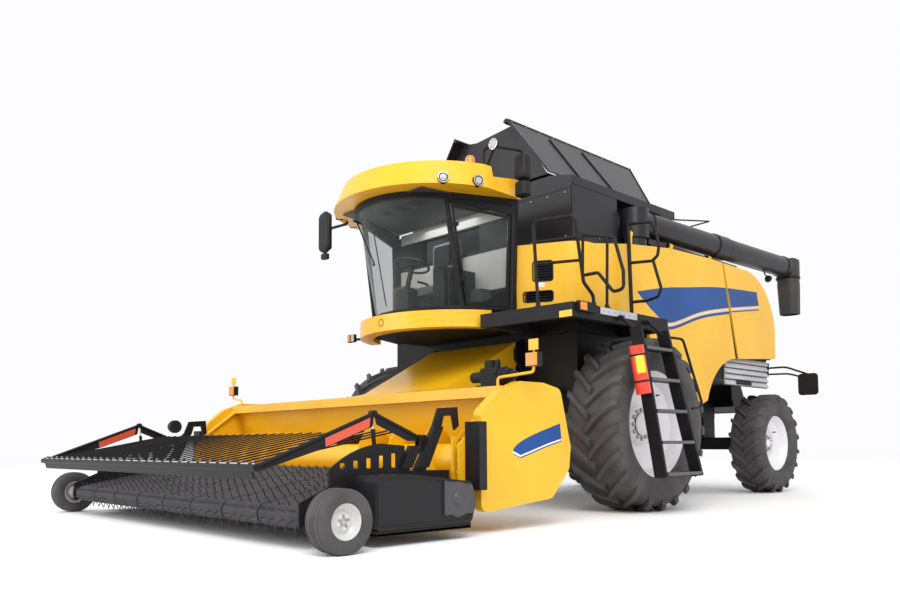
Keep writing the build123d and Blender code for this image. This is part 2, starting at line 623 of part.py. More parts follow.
def cab_door():
    """Door frame with its yellow foot, and its hinge eyes beside the front post."""
    plane = side_plane()
    frame = extrude(plane * door_outline(DOOR_IN, DOOR_LOW, 0), amount=15, both=True)
    frame -= extrude(plane * door_outline(DOOR_IN + 26, DOOR_LOW + 26, DOOR_SILL), amount=16, both=True)
    up = (Vector(*A_POST_HEAD) - Vector(*A_POST_FOOT)).normalized()
    for t in DOOR_HINGES:
        low = Vector(*A_POST_FOOT) + (Vector(*A_POST_HEAD) - Vector(*A_POST_FOOT)) * (t - 0.017)
        arm = outline((DOOR_IN + 6, 10), (DOOR_IN + 34, 10), (DOOR_IN + 34, HINGE_OFF[1] + 14),
                      (HINGE_OFF[0], HINGE_OFF[1] + 14), (HINGE_OFF[0], HINGE_OFF[1] - 14),
                      (DOOR_IN + 6, HINGE_OFF[1] - 14))
        base = Plane(origin=low, x_dir=plane.x_dir, z_dir=up)
        flip = 1 if base.y_dir.dot(plane.z_dir) > 0 else -1
        face = arm if flip > 0 else mirror(arm, about=Plane.XZ)
        frame += extrude(base * face, amount=40)
        frame += rod(hinge_point(t - 0.017), hinge_point(t + 0.017), HINGE_EYE)
        frame -= rod(hinge_point(t - 0.03), hinge_point(t + 0.03), 8 + FIT)
    return frame


def door_pins():
    """Brackets and pins of the cab door on the front post."""
    pins = None
    for t in DOOR_HINGES:
        for s in (-1, 1):
            foot, head = Vector(*A_POST_FOOT), Vector(*A_POST_HEAD)
            base = foot + (head - foot) * (t + s * 0.026)
            lug = rod(hinge_point(t + s * 0.021), hinge_point(t + s * 0.031), HINGE_EYE - 4)
            lug += rod((base.X, base.Y, base.Z), hinge_point(t + s * 0.026), 6)
            pins = lug if pins is None else pins + lug
        pins += rod(hinge_point(t - 0.03), hinge_point(t + 0.03), 8)
    return pins


def door_glass():
    return extrude(side_plane() * door_outline(DOOR_IN + 26.3, DOOR_LOW + 26.3, DOOR_SILL),
                   amount=GLASS / 2, both=True)


def side_glass_right():
    """Fixed right side window with its foot panel, the mirror image of the door's shape."""
    return mirrored(extrude(side_plane() * door_outline(DOOR_IN - 2, 20.6, 0), amount=GLASS / 2, both=True))


def bumper():
    """Bowed front bumper under the windscreen, carried on the cab's underframe."""
    outer = outline((-1010, -1260), ((0, SCREEN_FOOT_Y - 190), (1010, -1260)), (880, -1230),
                    ((0, SCREEN_FOOT_Y - 30 - FIT), (-880, -1230)))
    return plan_plate(outer, 1925, 2105) - plan_plate(cab_plan(FIT, SCREEN_FOOT_Y - 30), 1900, 2200)


def cab_roof():
    """Roof shell over the posts, closed, with a headliner under it."""
    top = plan_plate(cab_plan(60, SCREEN_HEAD_Y - 20, True), CAB_TOP_Z + 60, ROOF_TOP_Z - 60)
    return top


VISOR_LOW = dict(z=3361, x=1110, y=-1400, apex=-2300)
VISOR_HIGH = dict(z=ROOF_TOP_Z, x=1050, y=-1370, apex=-2180)
VISOR_END, RAIL_TOP = -1280, 3450
LAMP_R, LAMP_Z = 58, 3415
LAMP_ANGLES = (18, 37)


def roof_visor():
    """Bowed visor around the front of the roof, and the side rails behind it."""
    bands = []
    for edge in (VISOR_LOW, VISOR_HIGH):
        x, y = edge["x"], edge["y"]
        band = outline((-x + 20, CAB_REAR_Y - 70), (-x, y), ((0, edge["apex"]), (x, y)),
                       (x - 20, CAB_REAR_Y - 70))
        bands.append(Plane(origin=(0, 0, edge["z"])) * band)
    inner = cab_plan(60 + FIT, SCREEN_HEAD_Y - 20, True)
    visor = loft(bands) - plan_plate(inner, CAB_TOP_Z, ROOF_TOP_Z - 60 + FIT)
    visor -= block(-1300, 1300, VISOR_END, CAB_REAR_Y, RAIL_TOP, ROOF_TOP_Z + 10)
    for angle in LAMP_ANGLES:
        visor -= both(rod(*lamp_line(angle, 60, 60), LAMP_R + FIT))
    return visor


def lamp_line(angle, inward, outward):
    """Ends of a work lamp's axis through the visor's face, angle degrees round from the side."""
    x, y, apex = VISOR_LOW["x"], VISOR_LOW["y"], VISOR_LOW["apex"]
    radius = (x ** 2 + (y - apex) ** 2) / (2 * (y - apex))
    cx, cy = cos(radians(angle)), -sin(radians(angle))
    return [(cx * (radius + d), apex + radius + cy * (radius + d), LAMP_Z) for d in (-inward, outward)]


def roof_lamps():
    """Work lamps set into the visor's edge, and the beacon on it."""
    lamps = None
    for angle in LAMP_ANGLES:
        lamp = both(rod(*lamp_line(angle, 59, 20), LAMP_R))
        lamps = lamp if lamps is None else lamps + lamp
    return lamps


def beacon():
    """Turning beacon on the visor's left end."""
    x, y = 840, VISOR_END - 110
    foot = rod((x, y, ROOF_TOP_Z), (x, y, ROOF_TOP_Z + 30), 70)
    return foot + rod((x, y, ROOF_TOP_Z), (x, y, ROOF_TOP_Z + 150), 55)


def seat():
    """Driver's seat on its pedestal."""
    base = block(-160, 160, -1230, -1000, FLOOR_TOP_Z, 2380)
    cushion = block(-240, 240, -1370, REAR_WALL_Y[0] - 45, 2380, 2490)
    back = block(-230, 230, REAR_WALL_Y[0] - 95, REAR_WALL_Y[0] - 5, 2490, 3080)
    return base + cushion + back


def console():
    """Steering pedestal with its column, and the armrest console beside the seat."""
    pedestal = block(-110, 110, -1640, -1500, FLOOR_TOP_Z, 2420)
    column = rod((0, -1570, 2400), (0, -1482, 2712), 28)
    wheel = Pos(0, -1482, 2712) * Rot(-15, 0, 0) * Torus(190, 14)
    spoke = Pos(0, -1482, 2712) * Rot(-15, 0, 0) * (Box(390, 26, 14) + Cylinder(40, 20))
    arm = block(280, 460, -1420, -940, FLOOR_TOP_Z, 2640)
    screen = block(330, 560, -1440, -1405, 2640, 2860)
    return pedestal + column + wheel + spoke + arm + screen


MIRROR_LEFT = dict(x=1240, y=-1000, z=(3311, 3790))
MIRROR_RIGHT = dict(x=-1290, y=-1770, z=(2960, 3560))


def mirrors():
    """Mirror heads on arms from the roof: the left one beside the door, the right one further forward."""
    x, y, (z0, z1) = MIRROR_LEFT["x"], MIRROR_LEFT["y"], MIRROR_LEFT["z"]
    left = block(x - 85, x + 85, y - 70, y + 70, z0, z1) + rod((x, y, z1 - 60), (x, y, z1 + 40), 20)
    left += bent_tube([(VISOR_HIGH["x"] - 60, VISOR_END - 60, ROOF_TOP_Z),
                       (VISOR_HIGH["x"] - 60, VISOR_END - 60, z1 + 30),
                       (x, y, z1 + 30)], 16, 50)
    left += rod((1060, VISOR_END + 35, z1 + 30), (1160, VISOR_END - 40, z1 + 30), 14)
    left += rod((1160, VISOR_END - 95, z1 + 30), (1160, VISOR_END - 25, z1 + 30), 60)
    x, y, (z0, z1) = MIRROR_RIGHT["x"], MIRROR_RIGHT["y"], MIRROR_RIGHT["z"]
    right = block(x - 110, x + 110, y - 40, y + 40, z0, z1)
    right += rod((-900, y + 40, VISOR_LOW["z"] - 30), (x, y, VISOR_LOW["z"] - 30), 18)
    right += rod((-900, y + 40, VISOR_LOW["z"] - 40), (-900, y + 40, VISOR_LOW["z"]), 20)
    return left, right


# ---- platform and ladder -----------------------------------------------------------------------
DECK_BACK = 330
RAIL_R = 17


def platform():
    """Access platform at the cab's left side, over the front wheel."""
    deck = outline((1012, -1430), (DECK_X, -1340), (DECK_X, DECK_BACK), (CORE_X + 5, DECK_BACK),
                   (CORE_X + 5, CORE_Y[0] - 5), (905, CORE_Y[0] - 5), (905, CAB_REAR_Y), (1012, CAB_REAR_Y))
    slab = plan_plate(deck, DECK_Z - DECK_T, DECK_Z)
    slab -= plan_plate(outline((1100, -1350), (2050, -1270), (2050, 250), (1560, 250), (1560, -520),
                               (1100, -520)),
                       DECK_Z - DECK_T - 1, DECK_Z - 30)
    hanger = block(CORE_X, CORE_X + 5, -440, DECK_BACK, DECK_Z - DECK_T, DECK_Z)
    lamp = block(DECK_X, DECK_X + 38, -1285, -1020, DECK_Z - 82, DECK_Z + 12)
    return slab + hanger + lamp


def handrails():
    """Handrails: the front corner guard, the hoop before the ladder's way, and two loops behind it."""
    deck, out_x, front_y = DECK_Z, DECK_X - 45, -1325
    rails = bent_tube([(1700, front_y, deck), (1650, front_y, 2905), (out_x, -1230, 2890),
                       (out_x, -1100, 2260),
                       (out_x, -950, 2150), (out_x, -940, deck)], RAIL_R, 60)
    for z in (2470, 2690):
        rails += rod((1700 - (z - deck) * 0.058, front_y, z), (out_x, -1230 + (2890 - z) * 0.206, z),
                     RAIL_R - 2)
    y = -745
    hoop = bent_tube([(1810, y, 2420), (2000, y, 2420), (2180, y, 2200), (2300, y, 2210), (2300, y, 2390),
                      (2200, y, 2740), (1820, y, 2840)], RAIL_R, 50)
    rails += hoop + rod((1810, y, 2410), (1820, y, 2850), RAIL_R - 2)
    rails += rod((2100, y, deck), (2120, y, 2780), RAIL_R - 2)
    y = 300
    upper = bent_tube([(1674, y, 3181), (1970, y, 3143), (2022, y, 3057), (2062, y, 2860), (2044, y, 2756),
                       (1974, y, 2707), (1683, y, 2733)], RAIL_R, 40)
    lower = bent_tube([(1985, y, 2712), (2079, y, 2388), (2039, y, 2300), (1886, y, 2274), (1696, y, 2286)],
                      RAIL_R, 40)
    rails += upper + lower + rod((1700, y, deck), (1671, y, 3220), RAIL_R + 5)
    return rails - block(1500, 2200, -1400, 400, deck - 50, deck)


BOTTLE_R = 72
LADDER_Y0, LADDER_Y1 = (-590, -110), (-440, 240)
LADDER_AXIS = (2165, DECK_Z - 80)


def ladder_stringer(side):
    """Front (0) or rear (1) stringer of the boarding ladder."""
    (xt, zt), (xb, zb) = LADDER_TOP, LADDER_FOOT
    yt, yb = LADDER_Y0[side], LADDER_Y1[side]
    fall = Vector(xb - xt, yb - yt, zb - zt)
    plane = Plane(origin=(xt, yt, zt), z_dir=fall, x_dir=(0, 1, 0))
    return plane * Box(34, 130, fall.length, align=(Align.CENTER, Align.CENTER, Align.MIN))


def ladder():
    """Boarding ladder's stringers and handrail, hung from eyes at the platform's edge."""
    (xt, zt), (xh, zh) = LADDER_TOP, LADDER_AXIS
    sides = []
    for k, y in enumerate(LADDER_Y0):
        hook = rod((xh, y, zh), (xt, y, zt - 40), 17)
        eye = rod((xh, y - 20, zh), (xh, y + 20, zh), 24)
        sides.append(ladder_stringer(k) + hook + eye - rod((xh, y - 30, zh), (xh, y + 30, zh), 10 + FIT))
    rail = bent_tube([(xt + 20, LADDER_Y0[1] + 5, zt - 60), (xt + 50, 200, zt - 60), (xt + 140, 420, 1080),
                      (xt + 140, 200, 1060)], 14, 60)
    return Compound([sides[0], sides[1] + rail])


def ladder_treads():
    """Five treads between the stringers."""
    (xt, zt), (xb, zb) = LADDER_TOP, LADDER_FOOT
    treads = []
    for k in range(5):
        t = 0.14 + 0.21 * k
        x, z = xt + (xb - xt) * t, zt + (zb - zt) * t
        front, rear = (top + (foot - top) * t for top, foot in zip(LADDER_Y0, LADDER_Y1))
        treads.append(block(x - 70, x + 70, front, rear, z - 15, z + 15) - ladder_stringer(0)
                      - ladder_stringer(1))
    return Compound(treads)


def ladder_lugs():
    """Lugs and pins at the platform's edge for the ladder's eyes."""
    x, z = LADDER_AXIS
    lugs = None
    for y in LADDER_Y0:
        for s in (-1, 1):
            lug = block(DECK_X, x + 14, y + s * 28 - 5, y + s * 28 + 5, z - 16, z + 16)
            lugs = lug if lugs is None else lugs + lug
        lugs += rod((x, y - 33, z), (x, y + 33, z), 10)
    return lugs


def extinguisher():
    """Fire extinguisher in its case against the ladder's front stringer."""
    (xt, zt), (xb, zb) = LADDER_TOP, LADDER_FOOT
    ends = []
    for z in (1650, 1180):
        t = (zt - z) / (zt - zb)
        ends.append((xt + (xb - xt) * t + 20, LADDER_Y0[0] + (LADDER_Y1[0] - LADDER_Y0[0]) * t - 17
                     - BOTTLE_R - 1, z))
    return rod(*ends, BOTTLE_R)


# ---- feeder house and lift ---------------------------------------------------------------------
def feeder_house():
    """Feeder house from the body's mouth down to the header, with its pivot eyes and lift lugs."""
    y, z = FEEDER_PIVOT
    side = outline((-540, 1860), (-1620, 1290), (-2180, 1190), (-2180, 380), (-1650, 400), (-560, 1120))
    house = side_plate(side, -FEEDER_X, FEEDER_X)
    way = side_plate(outline((-500, 1780), (-1640, 1200), (-2200, 1100), (-2200, 480), (-1650, 500),
                             (-500, 1240)),
                     -FEEDER_X + 40, FEEDER_X - 40)
    house -= way
    ear = side_plate(outline((-600, 1500), (-600, 1800), (y + 40, z + 60), (y + 60, z), (y + 20, z - 80)),
                     FEEDER_X - 40, FEEDER_X)
    house += both(ear)
    house -= both(rod((FEEDER_X - 50, y, z), (FEEDER_X + 10, y, z), 40 + FIT))
    ly, lz = LIFT_EYE
    for s in (-1, 1):
        lug = side_plate(outline((ly - 90, lz + 50), (ly + 110, lz + 130), (ly + 25, lz - 30),
                                 (ly - 25, lz - 30)),
                         LIFT_X + s * 42 - 10, LIFT_X + s * 42 + 10)
        house += both(lug)
    house += both(rod((LIFT_X - 50, ly, lz), (LIFT_X + 50, ly, lz), 20))
    return house


def feeder_mounts():
    """Brackets on the body's front that carry the feeder's pivot pins and the lift cylinders."""
    y, z = FEEDER_PIVOT
    plate = side_plate(outline((CORE_Y[0], 1500), (CORE_Y[0], 1900), (y - 60, z + 60), (y - 60, z - 60)),
                       FEEDER_X + RUN, FEEDER_X + RUN + 40)
    pin = rod((FEEDER_X - 45, y, z), (FEEDER_X + RUN + 20, y, z), 40)
    by, bz = LIFT_BASE
    lift = None
    for s in (-1, 1):
        lug = block(LIFT_X + s * 62 - 12, LIFT_X + s * 62 + 12, by - 30, -150, bz - 40, bz + 40)
        lift = lug if lift is None else lift + lug
    lift += rod((LIFT_X - 70, by, bz), (LIFT_X + 70, by, bz), 25)
    return both(plate + pin) + both(lift)


def cylinder_parts(x, base, eye, barrel_r, rod_r, pin_r, eye_bore, closed):
    """Hydraulic cylinder in a plane x = const: barrel from its base pin, and rod up to its open eye."""
    way = Vector(0, eye[0] - base[0], eye[1] - base[1])
    unit, length = way.normalized(), way.length
    p = Vector(x, base[0], base[1])

    def at(distance):
        spot = p + unit * distance
        return (spot.X, spot.Y, spot.Z)

    barrel = rod(at(pin_r), at(closed), barrel_r) - rod(at(pin_r * 3), at(closed + 1), rod_r + FIT)
    wide = barrel_r * 0.8
    barrel += rod((x - wide, base[0], base[1]), (x + wide, base[0], base[1]), pin_r * 1.7)
    barrel -= rod((x - wide - 20, base[0], base[1]), (x + wide + 20, base[0], base[1]), pin_r + FIT)
    stem = rod(at(closed * 0.15), at(length - 1.3 * eye_bore), rod_r)
    thick = rod_r * 0.9
    stem += rod((x - thick, eye[0], eye[1]), (x + thick, eye[0], eye[1]), eye_bore * 1.6)
    stem -= rod((x - 2 * rod_r, eye[0], eye[1]), (x + 2 * rod_r, eye[0], eye[1]), eye_bore)
    return barrel, stem


# ---- header ------------------------------------------------------------------------------------
def header_frame():
    """Trough, back sheet, top beam and end sheets of the header."""
    y, z, r = CROSS_AUGER["y"], CROSS_AUGER["z"], CROSS_AUGER["r"] + 25
    t = 14
    low = TABLE_Z
    half = (r ** 2 - (z - low) ** 2) ** 0.5
    inner = [(y - half, low), ((y - r * 0.2, z - (r ** 2 - (r * 0.2) ** 2) ** 0.5), (y + r, z))]
    ro = r + t
    half_o = (ro ** 2 - (z - low) ** 2) ** 0.5
    sheet = outline(inner[0], inner[1], (HEADER_TOP[0] + 40, HEADER_TOP[1] - 85),
                    (HEADER_TOP[0] + 40 + t, HEADER_TOP[1] - 85), (y + ro, z),
                    ((y - ro * 0.2, z - (ro ** 2 - (ro * 0.2) ** 2) ** 0.5), (y - half_o, low)),
                    (TABLE_Y, low), (TABLE_Y, low + t), (inner[0][0] - 2, low + t))
    trough = side_plate(sheet, -HEADER_X + 20, HEADER_X - 20)
    beam = block(-HEADER_X, HEADER_X, HEADER_TOP[0] - 60, HEADER_TOP[0] + 80, HEADER_TOP[1] - 90,
                 HEADER_TOP[1])
    end = side_plate(outline((TABLE_Y, low - 30), (TABLE_Y, 700), (HEADER_TOP[0] - 60, HEADER_TOP[1] - 90),
                             (HEADER_TOP[0] + 80, HEADER_TOP[1] - 90), (y + ro + 30, z), (y + ro, low - 160),
                             (y - 200, z - ro - 10)), HEADER_X - 20, HEADER_X)
    frame = trough + beam + both(end)
    frame -= block(-560, 560, y + r - 60, y + ro + 80, 480, 980)
    adapter = block(-FEEDER_X - 60, FEEDER_X + 60, -2420, -2180, 340, 1100)
    adapter -= block(-FEEDER_X + 40, FEEDER_X - 40, -2450, -2100, 480, 1000)

    def on_sheet(angle):
        return y + (r + t / 2) * cos(radians(angle)), z + (r + t / 2) * sin(radians(angle))

    frame += adapter & side_plate(outline(on_sheet(-43), (on_sheet(-21), on_sheet(0)),
                                          (HEADER_TOP[0] + 38 + t, 1100),
                                          (-2180, 1100), (-2180, 340)), -900, 900)
    frame -= both(rod((HEADER_X - 30, y, z), (HEADER_X + 10, y, z), 30))
    frame += both(rod((HEADER_X - 70, y, z), (HEADER_X, y, z), 30))
    return frame + both(table_arm() + header_brace() + marker_post())


def table_arm():
    """Upright arm with holes on the left front corner of the table."""
    arm = side_plate(outline((TABLE_Y + 1, TABLE_Z + 10), (TABLE_Y + 1, 765), (-2862, 765), (-2862, 560),
                             (-2845, TABLE_Z + 10)), 2160, 2180)
    for z in (500, 600, 700):
        arm -= rod((2150, -2908, z), (2190, -2908, z), 18)
    return arm


def header_brace():
    """Tube from the left end of the top beam down to the end sheet's front edge."""
    return rod((2190, HEADER_TOP[0] + 10, 1150), (2226, -2865, 795), 22)


def marker_post():
    """Bent tube with the left marker lamp, on the top beam."""
    y, z = HEADER_TOP[0], HEADER_TOP[1]
    post = bent_tube([(2150, y + 20, z - 10), (2150, y + 20, z + 75), (2485, y + 90, z + 105),
                      (2485, y + 90, z + 165)],
                     12, 30)
    return post + block(2425, 2545, y + 60, y + 120, z + 155, z + 260)


def end_panel():
    """Left plastic end panel of the header."""
    face = FilletPolyline((-2795, 960), (-2800, 165), (-1930, 240), (-1690, 480), (-1665, 680),
                          (-1800, 1180),
                          (-2030, 1224), (-2330, 1224), (-2570, 1140), radius=75, close=True)
    return side_plate(make_face(face), HEADER_X, HEADER_X + 85)


FLIGHT = dict(pitch=430, turns=4, thick=8)
FINGER_ROWS, FINGER_STEP = 4, 150


def flight():
    """One helical flight on the +Z axis, from z = 0 upwards."""
    r, tube = CROSS_AUGER["r"], CROSS_AUGER["tube"] - 2
    path = Helix(pitch=FLIGHT["pitch"], height=FLIGHT["pitch"] * FLIGHT["turns"], radius=tube)
    strip = Pos((r - tube) / 2, 0) * Rectangle(r - tube, FLIGHT["thick"])
    return sweep(Plane(origin=path @ 0, z_dir=path % 0, x_dir=(1, 0, 0)) * strip, path=path, is_frenet=True)


def cross_auger():
    """Header's cross auger: tube, flights that feed to the middle, and fingers between them."""
    y, z, r = CROSS_AUGER["y"], CROSS_AUGER["z"], CROSS_AUGER["r"]
    half = HEADER_X - 20 - RUN
    start = half - 12 - FLIGHT["pitch"] * FLIGHT["turns"]
    auger = rod((-half, 0, 0), (half, 0, 0), CROSS_AUGER["tube"])
    left = Pos(start, 0, 0) * Rot(0, 90, 0) * flight()
    fingers = []
    for k in range(int(2 * start / FINGER_STEP)):
        angle = 360 * (k % FINGER_ROWS) / FINGER_ROWS + 30
        x = (k + 0.5) * FINGER_STEP - start
        fingers.append(Rot(angle, 0, 0) * rod((x, 0, CROSS_AUGER["tube"] - 10), (x, 0, r - 4), 8))
    auger = auger.fuse(left, mirrored(left), *fingers)
    for s in (-1, 1):
        auger -= rod((s * (half + 1), 0, 0), (s * (half - 60), 0, 0), 30 + FIT)
    return Pos(0, y, z) * auger


def pickup_frame():
    """Side plates of the pickup, its beam, roller shafts and the gauge wheels' spindles."""
    side = side_plate(outline((-4340, 150), (-2990, 150), (-2965, 505), (-3400, 505), (-4100, 420),
                              (-4340, 320)),
                      PICKUP_X - 20, PICKUP_X) + pickup_stays()
    beam = block(-PICKUP_X + 20, PICKUP_X - 20, -3660, -3560, 290, 360)
    rear = block(-PICKUP_X + 20, PICKUP_X - 20, TABLE_Y - 34, TABLE_Y - FIT, 300, TABLE_Z + 14)
    spindle = rod((PICKUP_X - 10, GAUGE_AXLE_Y, GAUGE_AXLE_Z),
                  (GAUGE_WHEEL["x"] + 40, GAUGE_AXLE_Y, GAUGE_AXLE_Z), 22)
    arm = block(PICKUP_X, GAUGE_WHEEL["x"] - 110, GAUGE_AXLE_Y - 45, GAUGE_AXLE_Y + 45, GAUGE_AXLE_Z - 40,
                GAUGE_AXLE_Z + 40)
    frame = both(side + spindle + arm) + beam + rear
    y, z = GUARD_HINGE
    for s in (-1, 1):
        ear = block(PICKUP_X - 44 + s * 22 - 5, PICKUP_X - 44 + s * 22 + 5, y - 30, y + 40, z - 120, z + 28)
        frame += both(ear)
    frame += both(rod((PICKUP_X - 75, y, z), (PICKUP_X - 10, y, z), 12))
    frame += both(block(PICKUP_X - 75, PICKUP_X - 20, y - 30, y + 40, z - 120, z - 90))
    gy, gz = GUARD_FOOT
    frame += both(rod((PICKUP_X - 90, gy, gz), (PICKUP_X - 20, gy, gz), 12))
    return frame


def pickup_stays():
    """Louvred shield, two leaning bars and the arch over the guard's hinge, on the left side plate."""
    x = PICKUP_X - 20
    shield = side_plate(outline((-4100, 400), (-4100, 530), ((-3900, 650), (-3650, 712)), (-3422, 696),
                                (-3405, 400)),
                        x, PICKUP_X)
    for k in range(5):
        y = -4010 + 115 * k
        shield -= block(x - 5, PICKUP_X + 5, y, y + 50, 535, 575 + 16 * k)
    bars = side_plate(outline((-3519, 450), (-3415, 450), (-3271, 695), (-3379, 696)), x, PICKUP_X + 25)
    bars += side_plate(outline((-3370, 450), (-3240, 450), (-3046, 842), (-3141, 842)), x, PICKUP_X + 25)
    bars -= block(PICKUP_X, PICKUP_X + 30, -4000, -2900, 100, 530)
    arch = side_plate(outline((-3141, 838), (-3080, 985), (-2872, 1000), (-2856, 850), (-2905, 815),
                              (-2930, 930),
                              (-3020, 925), (-3046, 838)), x, PICKUP_X)
    strip = block(HEADER_X, 2400, -2890, -2802, 350, 880)
    return shield + bars + arch + strip


def rollers():
    """Front and rear rollers inside the belts."""
    x = PICKUP_X - 20
    front, rear = (rod((-x, *axis), (x, *axis), ROLLER_R - FIT) for axis in (FRONT_ROLLER, REAR_ROLLER))
    return front + rear


BELT_COUNT, BELT_GAP = 8, 22


TINE = dict(width=7, height=52, lean=20, rows=9, each=4)


def belts():
    """Draper belts side by side, each one endless, with rows of tines on both runs and the front bend."""
    span = 2 * (PICKUP_X - 30) / BELT_COUNT
    width = span - BELT_GAP
    length = hypot(REAR_ROLLER[0] - FRONT_ROLLER[0], REAR_ROLLER[1] - FRONT_ROLLER[1])
    slope = degrees(atan2(REAR_ROLLER[1] - FRONT_ROLLER[1], REAR_ROLLER[0] - FRONT_ROLLER[0]))
    tine = Pos(0, 0, ROLLER_R + BELT_T - 4) * Rot(TINE["lean"], 0, 0) * Box(
        TINE["width"], TINE["width"], TINE["height"] + 4, align=(Align.CENTER, Align.CENTER, Align.MIN))
    rows = []
    for k in range(TINE["rows"]):
        along = (length - 130) * k / (TINE["rows"] - 1)
        rows += [Pos(0, along, 0) * tine, Pos(0, along, 0) * Rot(180, 0, 0) * tine]
    rows += [Rot(angle, 0, 0) * tine for angle in (45, 90, 135)]
    tines = [Pos(width * (n + 0.5) / TINE["each"], *FRONT_ROLLER) * Rot(slope, 0, 0) * row
             for row in rows for n in range(TINE["each"])]
    belt = belt_loop(0, width, FRONT_ROLLER, REAR_ROLLER, ROLLER_R, BELT_T).fuse(*tines)
    return Compound([Pos(-PICKUP_X + 30 + span * k + BELT_GAP / 2, 0, 0) * belt for k in range(BELT_COUNT)])


def drive_cover():
    """Moulded cover over the pickup's drive, and the skid under it."""
    face = FilletPolyline((-3925, 120), (-3925, 490), (-3600, 495), (-3010, 425), (-2958, 290), (-3010, 120),
                          radius=50, close=True)
    cover = side_plate(make_face(face), PICKUP_X, 2440)
    return cover


def skids():
    skid = block(PICKUP_X - 20, 2420, -3900, -3000, 78, 118)
    return both(skid + block(PICKUP_X - 20, PICKUP_X, -3600, -3500, 118, 150))


GUARD_ARM_X = PICKUP_X - 44


def windguard():
    """Crop guard over the pickup: front bar, side arms and thin rods that trail behind it."""
    by, bz = GUARD_BAR
    hy, hz = GUARD_HINGE
    ay, az = GUARD_APEX
    guard = rod((-GUARD_X, by, bz), (GUARD_X, by, bz), GUARD_BAR_R)
    for k in range(29):
        x = -GUARD_X + 70 + k * (2 * GUARD_X - 140) / 28
        guard += rod((x, by, bz + 12), (x, by + 1250, bz + 250), 6)
    arm = rod((GUARD_ARM_X, by, bz), (GUARD_ARM_X, ay, az), 16)
    arm += rod((GUARD_ARM_X, ay, az), (GUARD_ARM_X, hy, hz), 16)
    arm += side_plate(outline((by + 20, bz), (ay, az), (ay - 15, az - 95), (ay - 420, az - 245),
                              (by + 40, bz - 20)),
                      GUARD_ARM_X - 6, GUARD_ARM_X + 6)
    arm += side_plate(outline((ay, az), (hy, hz), (hy - 10, hz - 20), (hy - 120, hz - 20),
                              (ay + 30, az - 80)),
                      GUARD_ARM_X - 6, GUARD_ARM_X + 6)
    lip = side_plate(outline((by - 5, bz - 15), (by + 5, bz - 15), (by + 25, bz - 75), (by + 15, bz - 75)),
                     0, GUARD_X - 60)
    arm += rod((GUARD_ARM_X - 15, hy, hz), (GUARD_ARM_X + 15, hy, hz), 24)
    arm += rod((GUARD_ARM_X - 30, ay, az), (GUARD_ARM_X + 10, ay, az), 9)
    arm -= rod((GUARD_ARM_X - 16, hy, hz), (GUARD_ARM_X + 16, hy, hz), 12 + FIT)
    return guard + both(arm + lip)


# ---- write every node --------------------------------------------------------------------------
lift_barrel, lift_rod = cylinder_parts(LIFT_X, LIFT_BASE, LIFT_EYE, 48, 30, 25, 32, 880)
guard_barrel, guard_rod = cylinder_parts(GUARD_ARM_X - 24, GUARD_FOOT, GUARD_APEX, 16, 8, 12, 14, 300)

mirror_left, mirror_right = mirrors()

NODES = {
    "chassis_frame": chassis(),
    "front_axle": front_axle(),
    "rear_axle": rear_axle(),
    "body_core": body_core(),
    "shield_rails": shield_ribs() + door_rails(),
    "front_bulkhead": front_bulkhead(),
    "feeder_mounts": feeder_mounts(),
    "engine_block": engine(),
    "corner_shields": both(corner_shield()),
    "rear_hood": Compound([rear_hood(), rear_shield(), mirrored(rear_shield())]),
    "rear_louvres": both(rear_louvres()),
    "chopper_housing": chopper_housing() + tail_lugs(),
    "tailboard": tailboard(),
    "grain_tank": grain_tank() + cover_pins() + auger_turret() + auger_channel(),
    "unloading_auger": unloading_auger(),
    "auger_spout": auger_spout(),
    "cab_base": cab_base(),
    "cab_frame": cab_frame() + door_pins() + cab_rear_wall(),
    "cab_glass": windscreen() + side_glass_right(),
    "cab_door_frame": cab_door(),
    "cab_door_glass": door_glass(),
    "front_bumper": bumper(),
    "cab_roof": cab_roof() + roof_visor(),
    "operator_seat": seat(),
    "cab_console": console(),
    "mirrors": mirror_left + mirror_right,
    "roof_lamps": roof_lamps() + beacon(),
    "platform": platform() + ladder_lugs(),
    "handrails": handrails(),
    "ladder": ladder(),
    "ladder_treads": ladder_treads(),
    "fire_extinguisher": extinguisher(),
    "feeder_house": feeder_house(),
    "lift_barrels": both(lift_barrel),
    "lift_rods": both(lift_rod),
    "header_frame": header_frame(),
    "end_panels": both(end_panel()),
    "cross_auger": cross_auger(),
    "pickup_frame": pickup_frame() + skids() + rollers(),
    "pickup_belts": belts(),
    "drive_cover": drive_cover(),
    "windguard": windguard(),
    "guard_barrels": both(guard_barrel),
    "guard_rods": both(guard_rod),
}
# Pieces with a node on each side, built for the left.
PAIRS = {
    "side_door": side_door(),
    "knuckle": knuckle(),
    "front_tyre": tyre(FRONT_WHEEL, 0, FRONT_AXLE_Z),
    "front_rim": rim(FRONT_WHEEL, 0, FRONT_AXLE_Z),
    "rear_tyre": tyre(REAR_WHEEL, WHEELBASE, REAR_AXLE_Z),
    "rear_rim": rim(REAR_WHEEL, WHEELBASE, REAR_AXLE_Z),
    "gauge_wheel": (tyre(GAUGE_WHEEL, GAUGE_AXLE_Y, GAUGE_AXLE_Z)
                    + rim(GAUGE_WHEEL, GAUGE_AXLE_Y, GAUGE_AXLE_Z)),
}
NODES["tank_cover_left"] = tank_cover() + cover_gussets(0, -330)
NODES["tank_cover_right"] = mirrored(tank_cover() + cover_gussets(25, 30))
for stem, shape in PAIRS.items():
    NODES[stem + "_left"] = shape
    NODES[stem + "_right"] = mirrored(shape)
for name, shape in NODES.items():
    export_step(Pos(0, SHIFT_Y, 0) * shape, f"parts/{name}.step")
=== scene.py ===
import bmesh
import bpy
import numpy as np
from mathutils import Matrix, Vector
from math import radians


